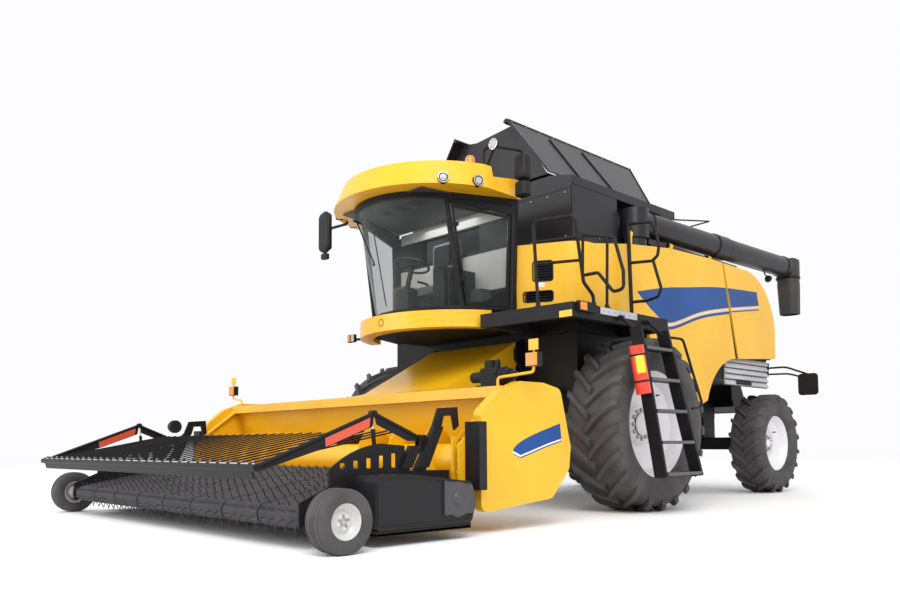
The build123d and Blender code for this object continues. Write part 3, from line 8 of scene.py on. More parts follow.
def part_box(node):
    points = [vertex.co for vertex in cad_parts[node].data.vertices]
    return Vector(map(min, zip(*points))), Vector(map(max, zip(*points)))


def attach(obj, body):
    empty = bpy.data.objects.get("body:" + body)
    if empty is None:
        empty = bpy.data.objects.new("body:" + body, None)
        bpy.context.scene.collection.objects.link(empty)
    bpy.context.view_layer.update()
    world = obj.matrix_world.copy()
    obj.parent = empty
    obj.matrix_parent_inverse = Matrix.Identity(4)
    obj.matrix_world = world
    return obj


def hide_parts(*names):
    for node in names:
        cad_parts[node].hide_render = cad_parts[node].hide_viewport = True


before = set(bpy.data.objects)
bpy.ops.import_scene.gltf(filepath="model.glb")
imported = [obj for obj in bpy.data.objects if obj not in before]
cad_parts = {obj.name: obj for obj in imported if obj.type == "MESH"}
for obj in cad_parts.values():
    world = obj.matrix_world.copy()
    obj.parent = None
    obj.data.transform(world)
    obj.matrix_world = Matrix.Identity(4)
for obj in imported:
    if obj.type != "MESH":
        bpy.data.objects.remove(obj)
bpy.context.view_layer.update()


# ==== Camera, floor and light ====
# A stills camera stands low at the machine's left front corner. The floor is pale seamless
# vinyl under two large soft boxes and a bright overcast sky dome.
EYE, PAN, TILT, ROLL = (6.6935, -7.4482, 0.7013), 46.394, 94.0, -0.321    # metres and degrees
LENS, SENSOR, RISE = 31.84, 36, 0.0933                                      # mm, mm, share of the width
FLOOR_REACH = 60                                                            # metres to each side
BOX_SIZE = 9                                                                # metres along a soft box

scene = bpy.context.scene
scene.view_settings.view_transform = "Standard"
view = bpy.data.cameras.new("view")
view.lens, view.sensor_width, view.shift_y = LENS, SENSOR, RISE
camera = bpy.data.objects.new("view", view)
camera.matrix_world = (Matrix.Translation(EYE) @ Matrix.Rotation(radians(PAN), 4, "Z")
                       @ Matrix.Rotation(radians(TILT), 4, "X") @ Matrix.Rotation(radians(ROLL), 4, "Z"))
scene.collection.objects.link(camera)
scene.camera = camera


def hue(code):
    """Linear colour of an sRGB hex code: the low end divided by 12.92, the rest a 2.4 power."""
    s = np.array([int(code[i:i + 2], 16) for i in (0, 2, 4)]) / 255
    return (*np.where(s <= 0.04045, s / 12.92, ((s + 0.055) / 1.055) ** 2.4), 1)


def blank(name):
    """New material: returns it, its one Principled surface and the socket of its Object coordinates."""
    mat = bpy.data.materials.new(name)
    mat.use_nodes = True
    place = mat.node_tree.nodes.new("ShaderNodeTexCoord").outputs["Object"]
    return mat, mat.node_tree.nodes["Principled BSDF"], place


def feed(mat, node, inputs):
    """Sets a shader node's inputs, each to a plain value or to another node's socket."""
    for name, value in inputs.items():
        if isinstance(value, bpy.types.NodeSocket):
            mat.node_tree.links.new(value, node.inputs[name])
        else:
            node.inputs[name].default_value = value


def add(mat, kind, inputs, **settings):
    """Adds a shader node of that kind with its settings and its inputs."""
    made = mat.node_tree.nodes.new("ShaderNode" + kind)
    for name, value in settings.items():
        setattr(made, name, value)
    feed(mat, made, inputs)
    return made


def stops(ramp, *pairs):
    """Fills a colour ramp with (place, hex code) pairs, from left to right, and returns its colour socket."""
    for mark, (place, code) in zip(ramp.color_ramp.elements, pairs):
        mark.position, mark.color = place, hue(code)
    return ramp.outputs["Color"]


# Seamless vinyl floor: matt, almost white, with a faint mottle so that the contact shadows read.
vinyl, shader, place = blank("seamless_vinyl")
mottle = add(vinyl, "TexNoise", {"Scale": 0.8, "Detail": 3, "Vector": place})
shade = stops(add(vinyl, "ValToRGB", {"Fac": mottle.outputs["Fac"]}), (0.3, "FAFAFA"), (0.7, "FFFFFF"))
feed(vinyl, shader, {"Base Color": shade, "Roughness": 0.75})
mesh = bpy.data.meshes.new("floor")
floor_edge = np.array([(-1, -1, 0), (1, -1, 0), (1, 1, 0), (-1, 1, 0)]) * FLOOR_REACH
mesh.from_pydata(floor_edge.tolist(), [], [(0, 1, 2, 3)])
mesh.materials.append(vinyl)
floor = bpy.data.objects.new("floor", mesh)
scene.collection.objects.link(floor)

sky = bpy.data.worlds.new("sky")
sky.use_nodes = True
feed(sky, sky.node_tree.nodes["Background"], {"Color": hue("FDFDFF"), "Strength": 1.0})
scene.world = sky
for name, place, aim, power in (("key_box", (9, -9, 11), (0, -1, 1.5), 1500),
                                ("front_box", (-6, -14, 6), (0, -2, 1.5), 560)):
    lamp = bpy.data.lights.new(name, "AREA")
    lamp.size, lamp.energy = BOX_SIZE, power
    light = bpy.data.objects.new(name, lamp)
    back = np.subtract(place, aim) / np.linalg.norm(np.subtract(place, aim))
    side = np.cross((0, 0, 1), back) / np.linalg.norm(np.cross((0, 0, 1), back))
    turn = np.column_stack([side, np.cross(back, side), back, place])
    light.matrix_world = Matrix(np.vstack([turn, (0, 0, 0, 1)]))
    scene.collection.objects.link(light)


# ==== Chassis and axles ====
# Welded box rails and a cast drive axle. The rails are powder coated black, the castings carry
# a thicker, duller black enamel that fills their sand texture.
def enamel(name, low, high, rough, clear, peel=0.05, gloss=0.5):
    """Sprayed enamel on sheet: a slow drift between two tones every 0.7 m, orange peel of 4 mm and
    long shallow waves of 0.4 m, which break up the reflections."""
    mat, shader, place = blank(name)
    drift = add(mat, "TexNoise", {"Scale": 1.4, "Detail": 2, "Vector": place})
    tone = stops(add(mat, "ValToRGB", {"Fac": drift.outputs["Fac"]}), (0.35, low), (0.65, high))
    skin = add(mat, "TexNoise", {"Scale": 260, "Detail": 1, "Vector": place})
    wave = add(mat, "TexNoise", {"Scale": 2.6, "Detail": 1, "Vector": place})
    fine = add(mat, "Bump", {"Strength": peel, "Distance": 0.0006, "Height": skin.outputs["Fac"]})
    slow = add(mat, "Bump", {"Strength": 0.25, "Distance": 0.006, "Height": wave.outputs["Fac"],
                             "Normal": fine.outputs["Normal"]})
    feed(mat, shader, {"Base Color": tone, "Normal": slow.outputs["Normal"], "Roughness": rough,
                       "Coat Weight": clear, "Specular IOR Level": gloss, "Coat Roughness": 0.08})
    return mat


def coat(mat, *nodes):
    """Gives a finish to carried-over nodes of the frame."""
    for name in nodes:
        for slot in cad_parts[name].material_slots:
            slot.material = mat


powder_black = enamel("black_powder_coat", "121113", "19181A", 0.5, 0.0, 0.2, 0.22)
cast_black = enamel("cast_iron_black_enamel", "1B1B1C", "242425", 0.58, 0.0, 0.5, 0.2)
coat(powder_black, "chassis_frame", "rear_axle")
coat(cast_black, "front_axle", "knuckle_left", "knuckle_right")


# ==== Tyres ====
# Radial tyres of carbon black rubber, moulded and cured. The drive and steering tyres carry
# curved tread bars that taper to the shoulder; the beads stand against the rims' flanges.
axle_y = sum(corner[1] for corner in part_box("front_tyre_left")) / 2
X, Y, Z = np.eye(3)


def middle(node):
    """Middle of a node's box to 0.1 mm, in millimetres from the ground under the front axle."""
    return (np.mean([list(corner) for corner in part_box(node)], 0) * 1000 - (0, axle_y * 1000, 0)).round(1)


def quads(rows, cols, round_rows=False, round_cols=False):
    """Corner numbers of the quads between the points of a rows x cols grid; round joins last to first."""
    i = np.arange(rows if round_rows else rows - 1)[:, None]
    j = np.arange(cols if round_cols else cols - 1)[None, :]
    k, m = (i + 1) % rows, (j + 1) % cols
    corners = np.broadcast_arrays(i * cols + j, k * cols + j, k * cols + m, i * cols + m)
    return np.stack(corners, -1).reshape(-1, 4)


def lofted(grid, ring=False):
    """Surface over a grid of closed rows, each joined to the next: the first and last row are closed flat,
    unless the rows form a ring of their own."""
    n, m = grid.shape[:2]
    ends = [] if ring else [np.arange(m)[None], (n - 1) * m + np.arange(m)[None]]
    return grid.reshape(-1, 3), [quads(n, m, ring, True), *ends]


def unit(v):
    """Vectors divided by their length."""
    return v / np.linalg.norm(v, axis=-1, keepdims=True)


def turned(centre, axis, rows, steps=32, ring=False):
    """Rows of (a, r) turned about a line: centre + a w + r (cos u p + sin u q), with w, p and q square to
    each other and w along the axis."""
    w = unit(np.array(axis, float))
    p = unit(np.cross(w, np.eye(3)[np.argmin(np.abs(w))]))
    u = np.linspace(0, 2 * np.pi, steps, endpoint=False)[:, None]
    a, r = np.array(rows, float).T[:, :, None, None]
    return lofted(np.array(centre) + a * w + r * (np.cos(u) * p + np.sin(u) * np.cross(w, p)), ring)


def copies(surface, points):
    """The same surface at new places: points is an array of copies of its points."""
    patches = surface[1]
    shift = len(surface[0]) * np.arange(len(points))[:, None, None]
    return points.reshape(-1, 3), [(patch + shift).reshape(-1, patch.shape[1]) for patch in patches]


def ringed(surface, centre, count, phase=0.0):
    """Copies of a surface turned about the X line through the centre, evenly spaced."""
    u = 2 * np.pi * (np.arange(count) + phase)[:, None] / count
    x, y, z = (surface[0] - centre).T
    return copies(surface, centre + np.stack([x + 0 * u, y * np.cos(u) - z * np.sin(u),
                                              y * np.sin(u) + z * np.cos(u)], -1))


def lined(surface, offsets):
    """Copies of a surface moved by each of the offsets."""
    return copies(surface, surface[0][None] + np.array(offsets, float)[:, None])


def flipped(surfaces):
    """Mirror images on the machine's right side, with their faces turned back outwards."""
    return [(points * (-1, 1, 1), [patch[:, ::-1] for patch in patches]) for points, patches in surfaces]


def paired(surfaces):
    """Surfaces of the left side and their mirror images."""
    return surfaces + flipped(surfaces)


SIDES = (("left", list), ("right", flipped))


def piece(name, body, *coats, bevel=0, crease=35):
    """New object from (finish, surfaces) pairs given in millimetres from the ground under the front axle.
    Doubles are merged, faces turned outwards, and edges under the crease angle shaded round."""
    mesh = bpy.data.meshes.new(name)
    points, corners, sizes, marks, base = [], [], [], [], 0
    for mark, (finish, surfaces) in enumerate(coats):
        mesh.materials.append(finish)
        for spots, patches in surfaces:
            corners += [patch.ravel() + base for patch in patches]
            sizes += [np.full(len(patch), patch.shape[1]) for patch in patches]
            marks += [np.full(len(patch), mark) for patch in patches]
            points.append(spots)
            base += len(spots)
    corners, sizes = np.concatenate(corners), np.concatenate(sizes)
    mesh.vertices.add(base)
    mesh.vertices.foreach_set("co", (np.concatenate(points) / 1000 + (0, axle_y, 0)).ravel())
    mesh.loops.add(len(corners))
    mesh.loops.foreach_set("vertex_index", corners.astype(np.int32))
    mesh.polygons.add(len(sizes))
    mesh.polygons.foreach_set("loop_start", (np.cumsum(sizes) - sizes).astype(np.int32))
    mesh.polygons.foreach_set("material_index", np.concatenate(marks).astype(np.int32))
    mesh.update(calc_edges=True)
    work = bmesh.new()
    work.from_mesh(mesh)
    bmesh.ops.remove_doubles(work, verts=work.verts, dist=1e-5)
    bmesh.ops.recalc_face_normals(work, faces=work.faces)
    work.to_mesh(mesh)
    work.free()
    mesh.shade_smooth()
    mesh.set_sharp_from_angle(angle=radians(crease))
    made = bpy.data.objects.new(name, mesh)
    scene.collection.objects.link(made)
    if bevel:
        edge = made.modifiers.new("edge", "BEVEL")
        edge.width, edge.segments, edge.angle_limit = bevel / 1000, 2, radians(35)
        edge.harden_normals = True
    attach(made, body)
    return made


# Cured rubber: dull, with pale dust in clouds of 0.2 m and a grain of 6 mm, coarser than life
# so that it shows.
rubber, shader, place = blank("cured_tyre_rubber")
dust = add(rubber, "TexNoise", {"Scale": 5, "Detail": 5, "Roughness": 0.6, "Vector": place})
tone = stops(add(rubber, "ValToRGB", {"Fac": dust.outputs["Fac"]}), (0.35, "393737"), (0.75, "4E4B4B"))
grain = add(rubber, "TexNoise", {"Scale": 180, "Detail": 2, "Vector": place})
bump = add(rubber, "Bump", {"Strength": 0.12, "Distance": 0.001, "Height": grain.outputs["Fac"]})
feed(rubber, shader, {"Base Color": tone, "Normal": bump.outputs["Normal"], "Roughness": 0.72})
# Half of a tyre's section from the bead to the crown: share of the width, share of the height over the bore.
SECTION = np.array([(0.36, 0), (0.405, 0.03), (0.465, 0.16), (0.495, 0.34), (0.5, 0.5), (0.485, 0.68),
                    (0.455, 0.84), (0.41, 0.94), (0.33, 0.985), (0.17, 1.0)])


def carcass(centre, width, bore, outer, section, steps):
    """Tyre body turned about its axle: a half section, scaled to the width and the height over the bore and
    mirrored across the middle."""
    half = section * (width, outer - bore) + (0, bore)
    return turned(centre, X, np.vstack([half, (half * (-1, 1))[::-1]]), steps, ring=True)


def tread_bars(centre, width, base, outer, count, side):
    """Curved tread bars: along s from crown to shoulder the bar moves out by s and back by 1.15 s - 0.2 s^2,
    its foot follows the carcass and its top the outer radius, which drops near the shoulder."""
    s = np.linspace(0, 1, 9)[:, None]
    across = side * (-0.02 + 0.50 * s) * width
    back = (1.15 * s - 0.2 * s ** 2) * 0.46 * width
    drop = np.clip(s - 0.78, 0, 1) * 4.5
    top = outer - drop ** 2 * (outer - base) * 1.1
    foot = base - 6 - drop ** 1.5 * (outer - base) * 1.2
    thick = (0.075 + 0.02 * s) * width
    shift = np.array([-0.62, -0.40, 0.40, 0.62])
    level = np.concatenate([foot, top, top, foot], 1)
    angle = (back + shift * thick * 1.35) / outer
    bar = np.stack([across + 0 * level, level * np.sin(angle), level * np.cos(angle)], -1)
    return ringed(lofted(centre + bar), centre, count, 0.5 * (side > 0))


FRONT_WHEEL, REAR_WHEEL = middle("front_tyre_left"), middle("rear_tyre_left")
for stem, centre, width, bore, outer, lug, count in (("front", FRONT_WHEEL, 650, 555, 905, 48, 21),
                                                     ("rear", REAR_WHEEL, 460, 385, 697, 40, 19)):
    shapes = [carcass(centre, width, bore, outer - lug, SECTION, 96)]
    for side in (-1, 1):
        bead = [(-4, bore + 22), (side * 9, bore + 26), (side * 9, bore + 34), (-4, bore + 38)]
        shapes.append(tread_bars(centre, width, outer - lug, outer, count, side))
        shapes.append(turned(centre + side * 0.43 * width * X, X, bead, 96, ring=True))
    for side, turn in SIDES:
        made = piece(f"{stem}_tyre_{side}_moulding", f"{stem}_wheel_{side}", (rubber, turn(shapes)))
        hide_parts(f"{stem}_tyre_{side}")


# ==== Rims and gauge wheels ====
# Pressed steel rims in light grey enamel, bolted to the hubs with zinc plated hexagon nuts. A grey
# cap closes each hub; the gauge wheels have small silver rims and plain tyres with three ribs.
rim_grey = enamel("rim_grey_enamel", "DDDBDD", "E8E6E8", 0.4, 0.15)
coat(rim_grey, "front_rim_left", "front_rim_right", "rear_rim_left", "rear_rim_right")
# Zinc plating: bright, slightly blurred, with a spangle of 11 mm between two greys.
zinc, shader, place = blank("zinc_plated_steel")
spangle = add(zinc, "TexNoise", {"Scale": 90, "Detail": 2, "Vector": place})
tone = stops(add(zinc, "ValToRGB", {"Fac": spangle.outputs["Fac"]}), (0.3, "9C9B98"), (0.7, "BDBCB8"))
feed(zinc, shader, {"Base Color": tone, "Metallic": 1.0, "Roughness": 0.38})


def nut(place, axis, size, high):
    """Hexagon nut with a washer: a round foot, six flats and a chamfered top."""
    rows = np.array([(0, 0.75), (0.15, 0.75), (0.15, 0.6), (0.85, 0.6), (1, 0.48)]) * (high, size)
    return turned(place, axis, rows, 6)


for stem, centre, hub, disc, count in (("front", FRONT_WHEEL, 120, 45.5, 12),
                                       ("rear", REAR_WHEEL, 60, 32.2, 10)):
    face = centre + disc * X
    nuts = ringed(nut(face + (hub + 34) * Z, X, 34, 24), centre, count)
    cap = turned(face, X, [(8, hub * 0.98), (22, hub * 0.98), (34, hub * 0.8), (40, hub * 0.4), (41, 1)])
    bead = np.array([(-8, 3.3), (0, 3.36), (6, 3.3), (0, 3.2)]) * (1, hub)
    swage = turned(centre + 30 * X, X, bead, 96, ring=True)
    valve = turned(centre + (60, hub * 2.2, hub * 2.6), (1, 0.1, 0.1),
                   [(0, 9), (30, 9), (34, 6), (52, 6)], 10)
    for side, turn in SIDES:
        piece(f"{stem}_hub_{side}", f"{stem}_wheel_{side}", (zinc, turn([nuts])),
              (rim_grey, turn([cap, swage])), (powder_black, turn([valve])))

GAUGE_WHEEL = middle("gauge_wheel_left")
RIBBED = np.array([(0.36, 0), (0.46, 0.1), (0.5, 0.45), (0.48, 0.78), (0.42, 0.95), (0.36, 0.99),
                   (0.335, 0.94), (0.30, 0.94), (0.27, 1.0), (0.12, 1.0), (0.09, 0.94), (0.05, 0.94),
                   (0.02, 1.0)])
tyre = carcass(GAUGE_WHEEL, 190, 115, 213, RIBBED, 72)
DISH = [(-68, 115), (70, 115), (76, 121), (80, 116), (62, 106), (40, 98), (24, 78), (34, 62),
        (46, 52), (46, 24), (-46, 24), (-46, 60), (10, 80), (20, 98), (-60, 100)]
dish = turned(GAUGE_WHEEL, X, DISH, 48, ring=True)
cap = turned(GAUGE_WHEEL + 40 * X, X, [(0, 23.5), (14, 23), (20, 14), (21, 1)], 24)
studs = ringed(nut(GAUGE_WHEEL + (46, 0, 38), X, 15, 12), GAUGE_WHEEL, 5)
silver = enamel("silver_rim_enamel", "B4B3B1", "C6C5C3", 0.3, 0.2)
for side, turn in SIDES:
    made = piece(f"gauge_wheel_{side}_moulding", f"gauge_wheel_{side}", (rubber, turn([tyre])),
                 (silver, turn([dish])), (zinc, turn([cap, studs])))
    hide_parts(f"gauge_wheel_{side}")


# ==== Body and side doors ====
# Welded steel body under moulded side doors and a round rear hood, all in glossy yellow enamel.
# The doors swing up on straps; black strips seal their slanted seams. The inner body is black.
yellow = enamel("yellow_polyester_enamel", "DFA80A", "E7B00F", 0.38, 0.18)
coat(yellow, "corner_shields", "rear_hood", "side_door_left", "side_door_right")
coat(powder_black, "body_core", "front_bulkhead", "shield_rails", "chopper_housing", "tailboard")
coat(cast_black, "engine_block")
DOOR_FACE = 1599.8          # just inside the doors' outer face, so that films are sunk 0.2 mm


def flat(way, level, outline):
    """Outline of pairs in the plane square to X, Y or Z at that level: pairs of the other two coordinates."""
    return np.insert(np.array(outline, float), np.argmax(way), level, axis=1)


def slab(corners, way):
    """Flat outline of corners carried straight along the vector way, closed at both ends."""
    return lofted(np.array([corners, corners + np.array(way, float)]))


def plate(way, level, thick, outline):
    """Plate cut to an outline in the plane square to X, Y or Z at that level, thick along it."""
    return slab(flat(way, level, outline), way * thick)


def block(x, y, z):
    """Box between the two values of each of x, y and z."""
    return plate(Z, z[0], z[1] - z[0], [(x[0], y[0]), (x[1], y[0]), (x[1], y[1]), (x[0], y[1])])


def curve(points, steps=10):
    """Catmull-Rom curve through the points: on each span the cubic whose end slopes are half the chord
    between the neighbours on either side."""
    p = np.array(points, float)
    p = np.vstack([2 * p[0] - p[1], p, 2 * p[-1] - p[-2]])
    t = np.linspace(0, 1, steps, endpoint=False)[None, :, None]
    a, b, c, d = (p[k:len(p) - 3 + k, None] for k in range(4))
    spans = 2 * b + (c - a) * t + (2 * a - 5 * b + 4 * c - d) * t ** 2 + (3 * b - a - 3 * c + d) * t ** 3
    return np.vstack([spans.reshape(-1, p.shape[1]) / 2, p[-2:-1]])


# Blue band and thin lines: cast vinyl film, 0.1 mm in life and 1.5 mm here, laid on the enamel.
# It rises in one sweep along the door and ends on the rear shield.
blue = enamel("blue_vinyl_film", "073C7C", "0B458A", 0.45, 0.05, 0.02, 0.3)
silver_film = enamel("silver_vinyl_film", "B9BEC3", "C9CDD1", 0.3, 0.3, 0.02)
BAND_TOP = curve([(560, 2455), (1170, 2580), (1590, 2640), (2540, 2765), (3610, 2838)])
BAND_FOOT = curve([(560, 2455), (900, 2260), (1250, 2160), (1990, 2370), (2660, 2500), (3660, 2650)])


def ribbon(top, foot, lift_top, lift_foot, top_ends, foot_ends):
    """Strip of film on the door's face between two curves z(y), each raised by its lift: its columns run
    evenly from one slanted end to the other."""
    s = np.linspace(0, 1, 40)
    yt, yf = (ends[0] + s * (ends[1] - ends[0]) for ends in (top_ends, foot_ends))
    upper = np.column_stack([yt, np.interp(yt, *top.T) + lift_top])
    lower = np.column_stack([yf, np.interp(yf, *foot.T) + lift_foot])
    return plate(X, DOOR_FACE, 1.7, np.vstack([upper, lower[::-1]]))


def line(lift_top, lift_foot, top_ends, foot_ends):
    """Line of film under the band, along its foot."""
    return ribbon(BAND_FOOT, BAND_FOOT, lift_top, lift_foot, top_ends, foot_ends)


door_film = [ribbon(BAND_TOP, BAND_FOOT, 0, 0, (570, 2688), (580, 2758)),
             line(-48, -84, (1190, 2768), (1150, 2776))]
door_lines = [line(-14, -36, (1230, 2760), (1215, 2764))]
rear_film = [ribbon(BAND_TOP, BAND_FOOT, 0, 0, (2744, 3600), (2822, 3650)),
             line(-48, -66, (2838, 3655), (2844, 3655))]
rear_lines = [line(-14, -36, (2828, 3650), (2834, 3655))]
seal = plate(X, DOOR_FACE - 27.8, 12, [(2583, 3092), (2612, 3092), (2998, 1850), (2922, 1850)])
pull = plate(X, DOOR_FACE - 0.8, 9,
             [(1500, 1330), (1640, 1330), (1650, 1352), (1640, 1374), (1500, 1374), (1490, 1352)])
# Moulded plastic: black and dull, with an etched grain of 2 mm.
moulded, shader, place = blank("moulded_black_plastic")
grain = add(moulded, "TexVoronoi", {"Scale": 420, "Vector": place})
bump = add(moulded, "Bump", {"Strength": 0.15, "Distance": 0.0005, "Height": grain.outputs["Distance"]})
feed(moulded, shader, {"Normal": bump.outputs["Normal"], "Base Color": hue("1B1A1C"), "Roughness": 0.46,
                       "Specular IOR Level": 0.25})
for side, turn in SIDES:
    piece(f"door_band_{side}", f"side_door_{side}", (blue, turn(door_film)), (silver_film, turn(door_lines)),
          (moulded, turn([pull])))
    piece(f"rear_band_{side}", "chassis", (blue, turn(rear_film)), (silver_film, turn(rear_lines)),
          (moulded, turn([seal])))


# ==== Front corners of the body ====
# Yellow corner panels with two rounded air vents. Black plastic frames with slanted slats are
# clipped into the vents; a blank plate sits between them.
CORNER_X, CORNER_Y, CORNER_RUN = 975, -820, (465, 245)    # the panel's front edge in plan, and its run
SLAT_PITCH = 30                                           # mm from slat to slat
wall_way = unit(np.array((*CORNER_RUN, 0.0)))
wall_out = np.array((wall_way[1], -wall_way[0], 0.0))


def on_corner(x, z, out=0.0):
    """Points on the slanted corner panel at their x and z, raised by out."""
    x, z = np.broadcast_arrays(np.array(x, float), np.array(z, float))
    y = CORNER_Y + (x - CORNER_X) * CORNER_RUN[1] / CORNER_RUN[0]
    return np.stack([x, y, z], -1) + wall_out * out


def rounded(wide, high, reach, steps=7):
    """Closed rounded rectangle about the origin: quarter circles of radius reach at its corners."""
    u = np.linspace(0, np.pi / 2, steps)
    quarters = [np.array((sx * (wide / 2 - reach), sz * (high / 2 - reach)))
                + reach * np.column_stack([np.cos(u + turn), np.sin(u + turn)])
                for (sx, sz), turn in zip(((1, 1), (-1, 1), (-1, -1), (1, -1)), np.arange(4) * np.pi / 2)]
    return np.vstack(quarters)


def circle(r, n=12):
    """Closed circle about the origin: points (r cos u, r sin u)."""
    u = np.linspace(0, 2 * np.pi, n, endpoint=False)
    return r * np.column_stack([np.cos(u), np.sin(u)])


def along(path, profile, ring=False):
    """Closed profile of (a, b) carried along a path: ring i is P + a side + b rise, where side is tangent x
    the axis that the path keeps furthest from and rise is side x tangent; open ends are closed flat."""
    path = np.array(path, float)
    way = unit(np.roll(path, -1, 0) - np.roll(path, 1, 0) if ring else np.gradient(path, axis=0))
    side = unit(np.cross(way, np.eye(3)[np.argmin(np.abs(way).max(0))]))
    return lofted(path[:, None] + profile[:, :1] * side[:, None]
                  + profile[:, 1:] * np.cross(side, way)[:, None], ring)


vents = []
for x, z, wide, high in ((1233, 2570, 195, 220), (1186, 2294, 290, 115)):
    edge = rounded(wide, high, 28) + (x, z)
    vents.append(along(on_corner(*edge.T, 2), circle(7, 8), ring=True))
    for level in np.arange(z - high / 2 + 22, z + high / 2 - 8, SLAT_PITCH):
        ends = on_corner([x - wide / 2 + 6, x + wide / 2 - 6], [level, level], -12)
        vents.append(slab(np.vstack([ends, ends[::-1] - wall_out * 14 + (0, 0, 12)]), (0, 0, 3)))
blank_plate = slab(on_corner(*(rounded(70, 50, 6) + (1215, 2418)).T), wall_out * 1.5)
label_white = enamel("white_vinyl_film", "D9D5CC", "E6E2DA", 0.4, 0.2, 0.02)
piece("corner_vents", "chassis", (moulded, paired(vents)), (label_white, paired([blank_plate])))


# ==== Grain tank and covers ====
# Folded sheet steel in dark grey enamel. The covers stand half open on rim hinges, with folded
# lips, pressed stiffening ribs and zinc bolts along their edges.
graphite = enamel("graphite_tank_enamel", "1B1A1D", "232225", 0.38, 0.06, 0.05, 0.3)
coat(graphite, "grain_tank", "tank_cover_left", "tank_cover_right")
TANK_FRONT = -300
hinge, tip = np.array((1060.0, 3790.0)), np.array((440.0, 4600.0))     # x and z of the left cover's two edges
reach = np.linalg.norm(tip - hinge)
slope, out = (tip - hinge) / reach, np.array(((tip - hinge)[1], -(tip - hinge)[0])) / reach


def on_cover(s, y, lift):
    """Points on the left cover's outer face: s up its slope from the hinge, y along it, lift off it."""
    s, y = np.broadcast_arrays(np.array(s, float), np.array(y, float))
    spot = hinge + s[..., None] * slope + lift * out
    return np.stack([spot[..., 0], y, spot[..., 1]], -1)


def cover_edge(s):
    """First and last y of the cover at s: its front and rear edges lean outwards as they rise."""
    t = (s - 30) / (reach - 30)
    return -330 - 50 * t, 1840 + 400 * t


def pressed(half, top, high):
    """Section of a pressed rib or a folded lip: a trapezium whose foot is sunk 3 mm into the sheet."""
    return np.array([(-half, -3), (half, -3), (top, high), (-top, high)])


def bolts(way, spots):
    """Round-headed bolts on washers, standing along the vector way at the spots."""
    return lined(turned((0, 0, 0), way, [(0, 11), (2, 11), (2, 8), (7, 7), (8, 3)], 8), spots)


low, high = 60, reach - 20                                             # where the side lips start and end
front, rear = cover_edge(np.array([low, high]))
lips = [along(on_cover(np.linspace(low, high, 12), np.linspace(*(edge + inset), 12), 3), pressed(9, 7, 5))
        for edge, inset in ((front, 12), (rear, -14))]
lips.append(along(on_cover(np.full(20, high + 3), np.linspace(-360, 2220, 20), 3), pressed(10, 8, 6)))
stamped = [along(on_cover(np.linspace(120, reach - 120, 10), np.full(10, y), 1.5), pressed(16, 9, 4))
           for y in (340, 1010)]
row_s, row_y = np.meshgrid((90, reach - 40), np.linspace(-300, 1800, 9))
cover_bolts = bolts(flat(Y, 0, out[None])[0],
                    np.vstack([on_cover(row_s.ravel(), row_y.ravel(), 1),
                               on_cover(np.linspace(170, reach - 120, 5), np.full(5, -320), 1)]))
for side, turn in SIDES:
    piece(f"cover_trim_{side}", f"tank_cover_{side}", (graphite, turn(lips + stamped)),
          (zinc, turn([cover_bolts])), bevel=1.5)
rim_line = [block((-1342, 1342), (TANK_FRONT - 6, TANK_FRONT), (3560, 3600)),
            block((1350, 1356), (-290, 550), (3600, 3640)), block((1500, 1506), (-290, 440), (2890, 2940))]
front_spots = [flat(Y, TANK_FRONT, np.column_stack([np.linspace(-1250, 1250, 11), np.full(11, level)]))
               for level in (3520, 3020)]
side_spots = flat(X, 1350, np.column_stack([np.linspace(-220, 480, 6), np.full(6, 3060)]))
folds = [block((x, x + 40), (TANK_FRONT - 10, TANK_FRONT), (3000, 3600)) for x in (-1340, 1300)]
piece("tank_trim", "chassis", (graphite, rim_line + folds),
      (zinc, [bolts(-Y, np.vstack(front_spots)), bolts(X, side_spots)]), bevel=1.5)


# ==== Unloading auger ====
# Rolled steel tube in the tank's enamel, with bolted clamp rings, a lamp below its end and a
# slotted bracket above. The spout is thick black rubber, clamped round the end.
coat(graphite, "unloading_auger")
# Moulded rubber: dull, with a grey bloom in clouds of 0.3 m and ripples of 17 mm from the mould.
spout_rubber, shader, place = blank("moulded_spout_rubber")
bloom = add(spout_rubber, "TexNoise", {"Scale": 3.5, "Detail": 4, "Vector": place})
tone = stops(add(spout_rubber, "ValToRGB", {"Fac": bloom.outputs["Fac"]}), (0.35, "2B2A2B"), (0.7, "383637"))
ripple = add(spout_rubber, "TexNoise", {"Scale": 60, "Detail": 2, "Vector": place})
bump = add(spout_rubber, "Bump", {"Strength": 0.2, "Distance": 0.002, "Height": ripple.outputs["Fac"]})
feed(spout_rubber, shader, {"Base Color": tone, "Normal": bump.outputs["Normal"], "Roughness": 0.6})
# Clear lens: pale polycarbonate with flutes that spread the light.
lens, shader, place = blank("clear_polycarbonate_lens")
flute = add(lens, "TexWave", {"Scale": 22, "Distortion": 0.3, "Vector": place})
bump = add(lens, "Bump", {"Strength": 0.3, "Distance": 0.002, "Height": flute.outputs["Fac"]})
feed(lens, shader, {"Base Color": hue("A9A69E"), "Roughness": 0.12, "Normal": bump.outputs["Normal"]})


def bent(points, reach, steps=6):
    """Path whose corners become parabolas: A (1-t)^2 + 2 C t (1-t) + B t^2, A and B a reach from corner C."""
    p = np.array(points, float)
    t = np.linspace(0, 1, steps)[:, None]
    path = [p[:1]]
    for a, c, b in zip(p[:-2], p[1:-1], p[2:]):
        start = c + unit(a - c) * min(reach, np.linalg.norm(a - c) * 0.48)
        end = c + unit(b - c) * min(reach, np.linalg.norm(b - c) * 0.48)
        path.append((1 - t) ** 2 * start + 2 * t * (1 - t) * c + t ** 2 * end)
    return np.vstack(path + [p[-1:]])


def tube(points, r, reach=60, sides=10):
    """Bent round bar or pipe through the points."""
    return along(bent(points, reach), circle(r, sides))


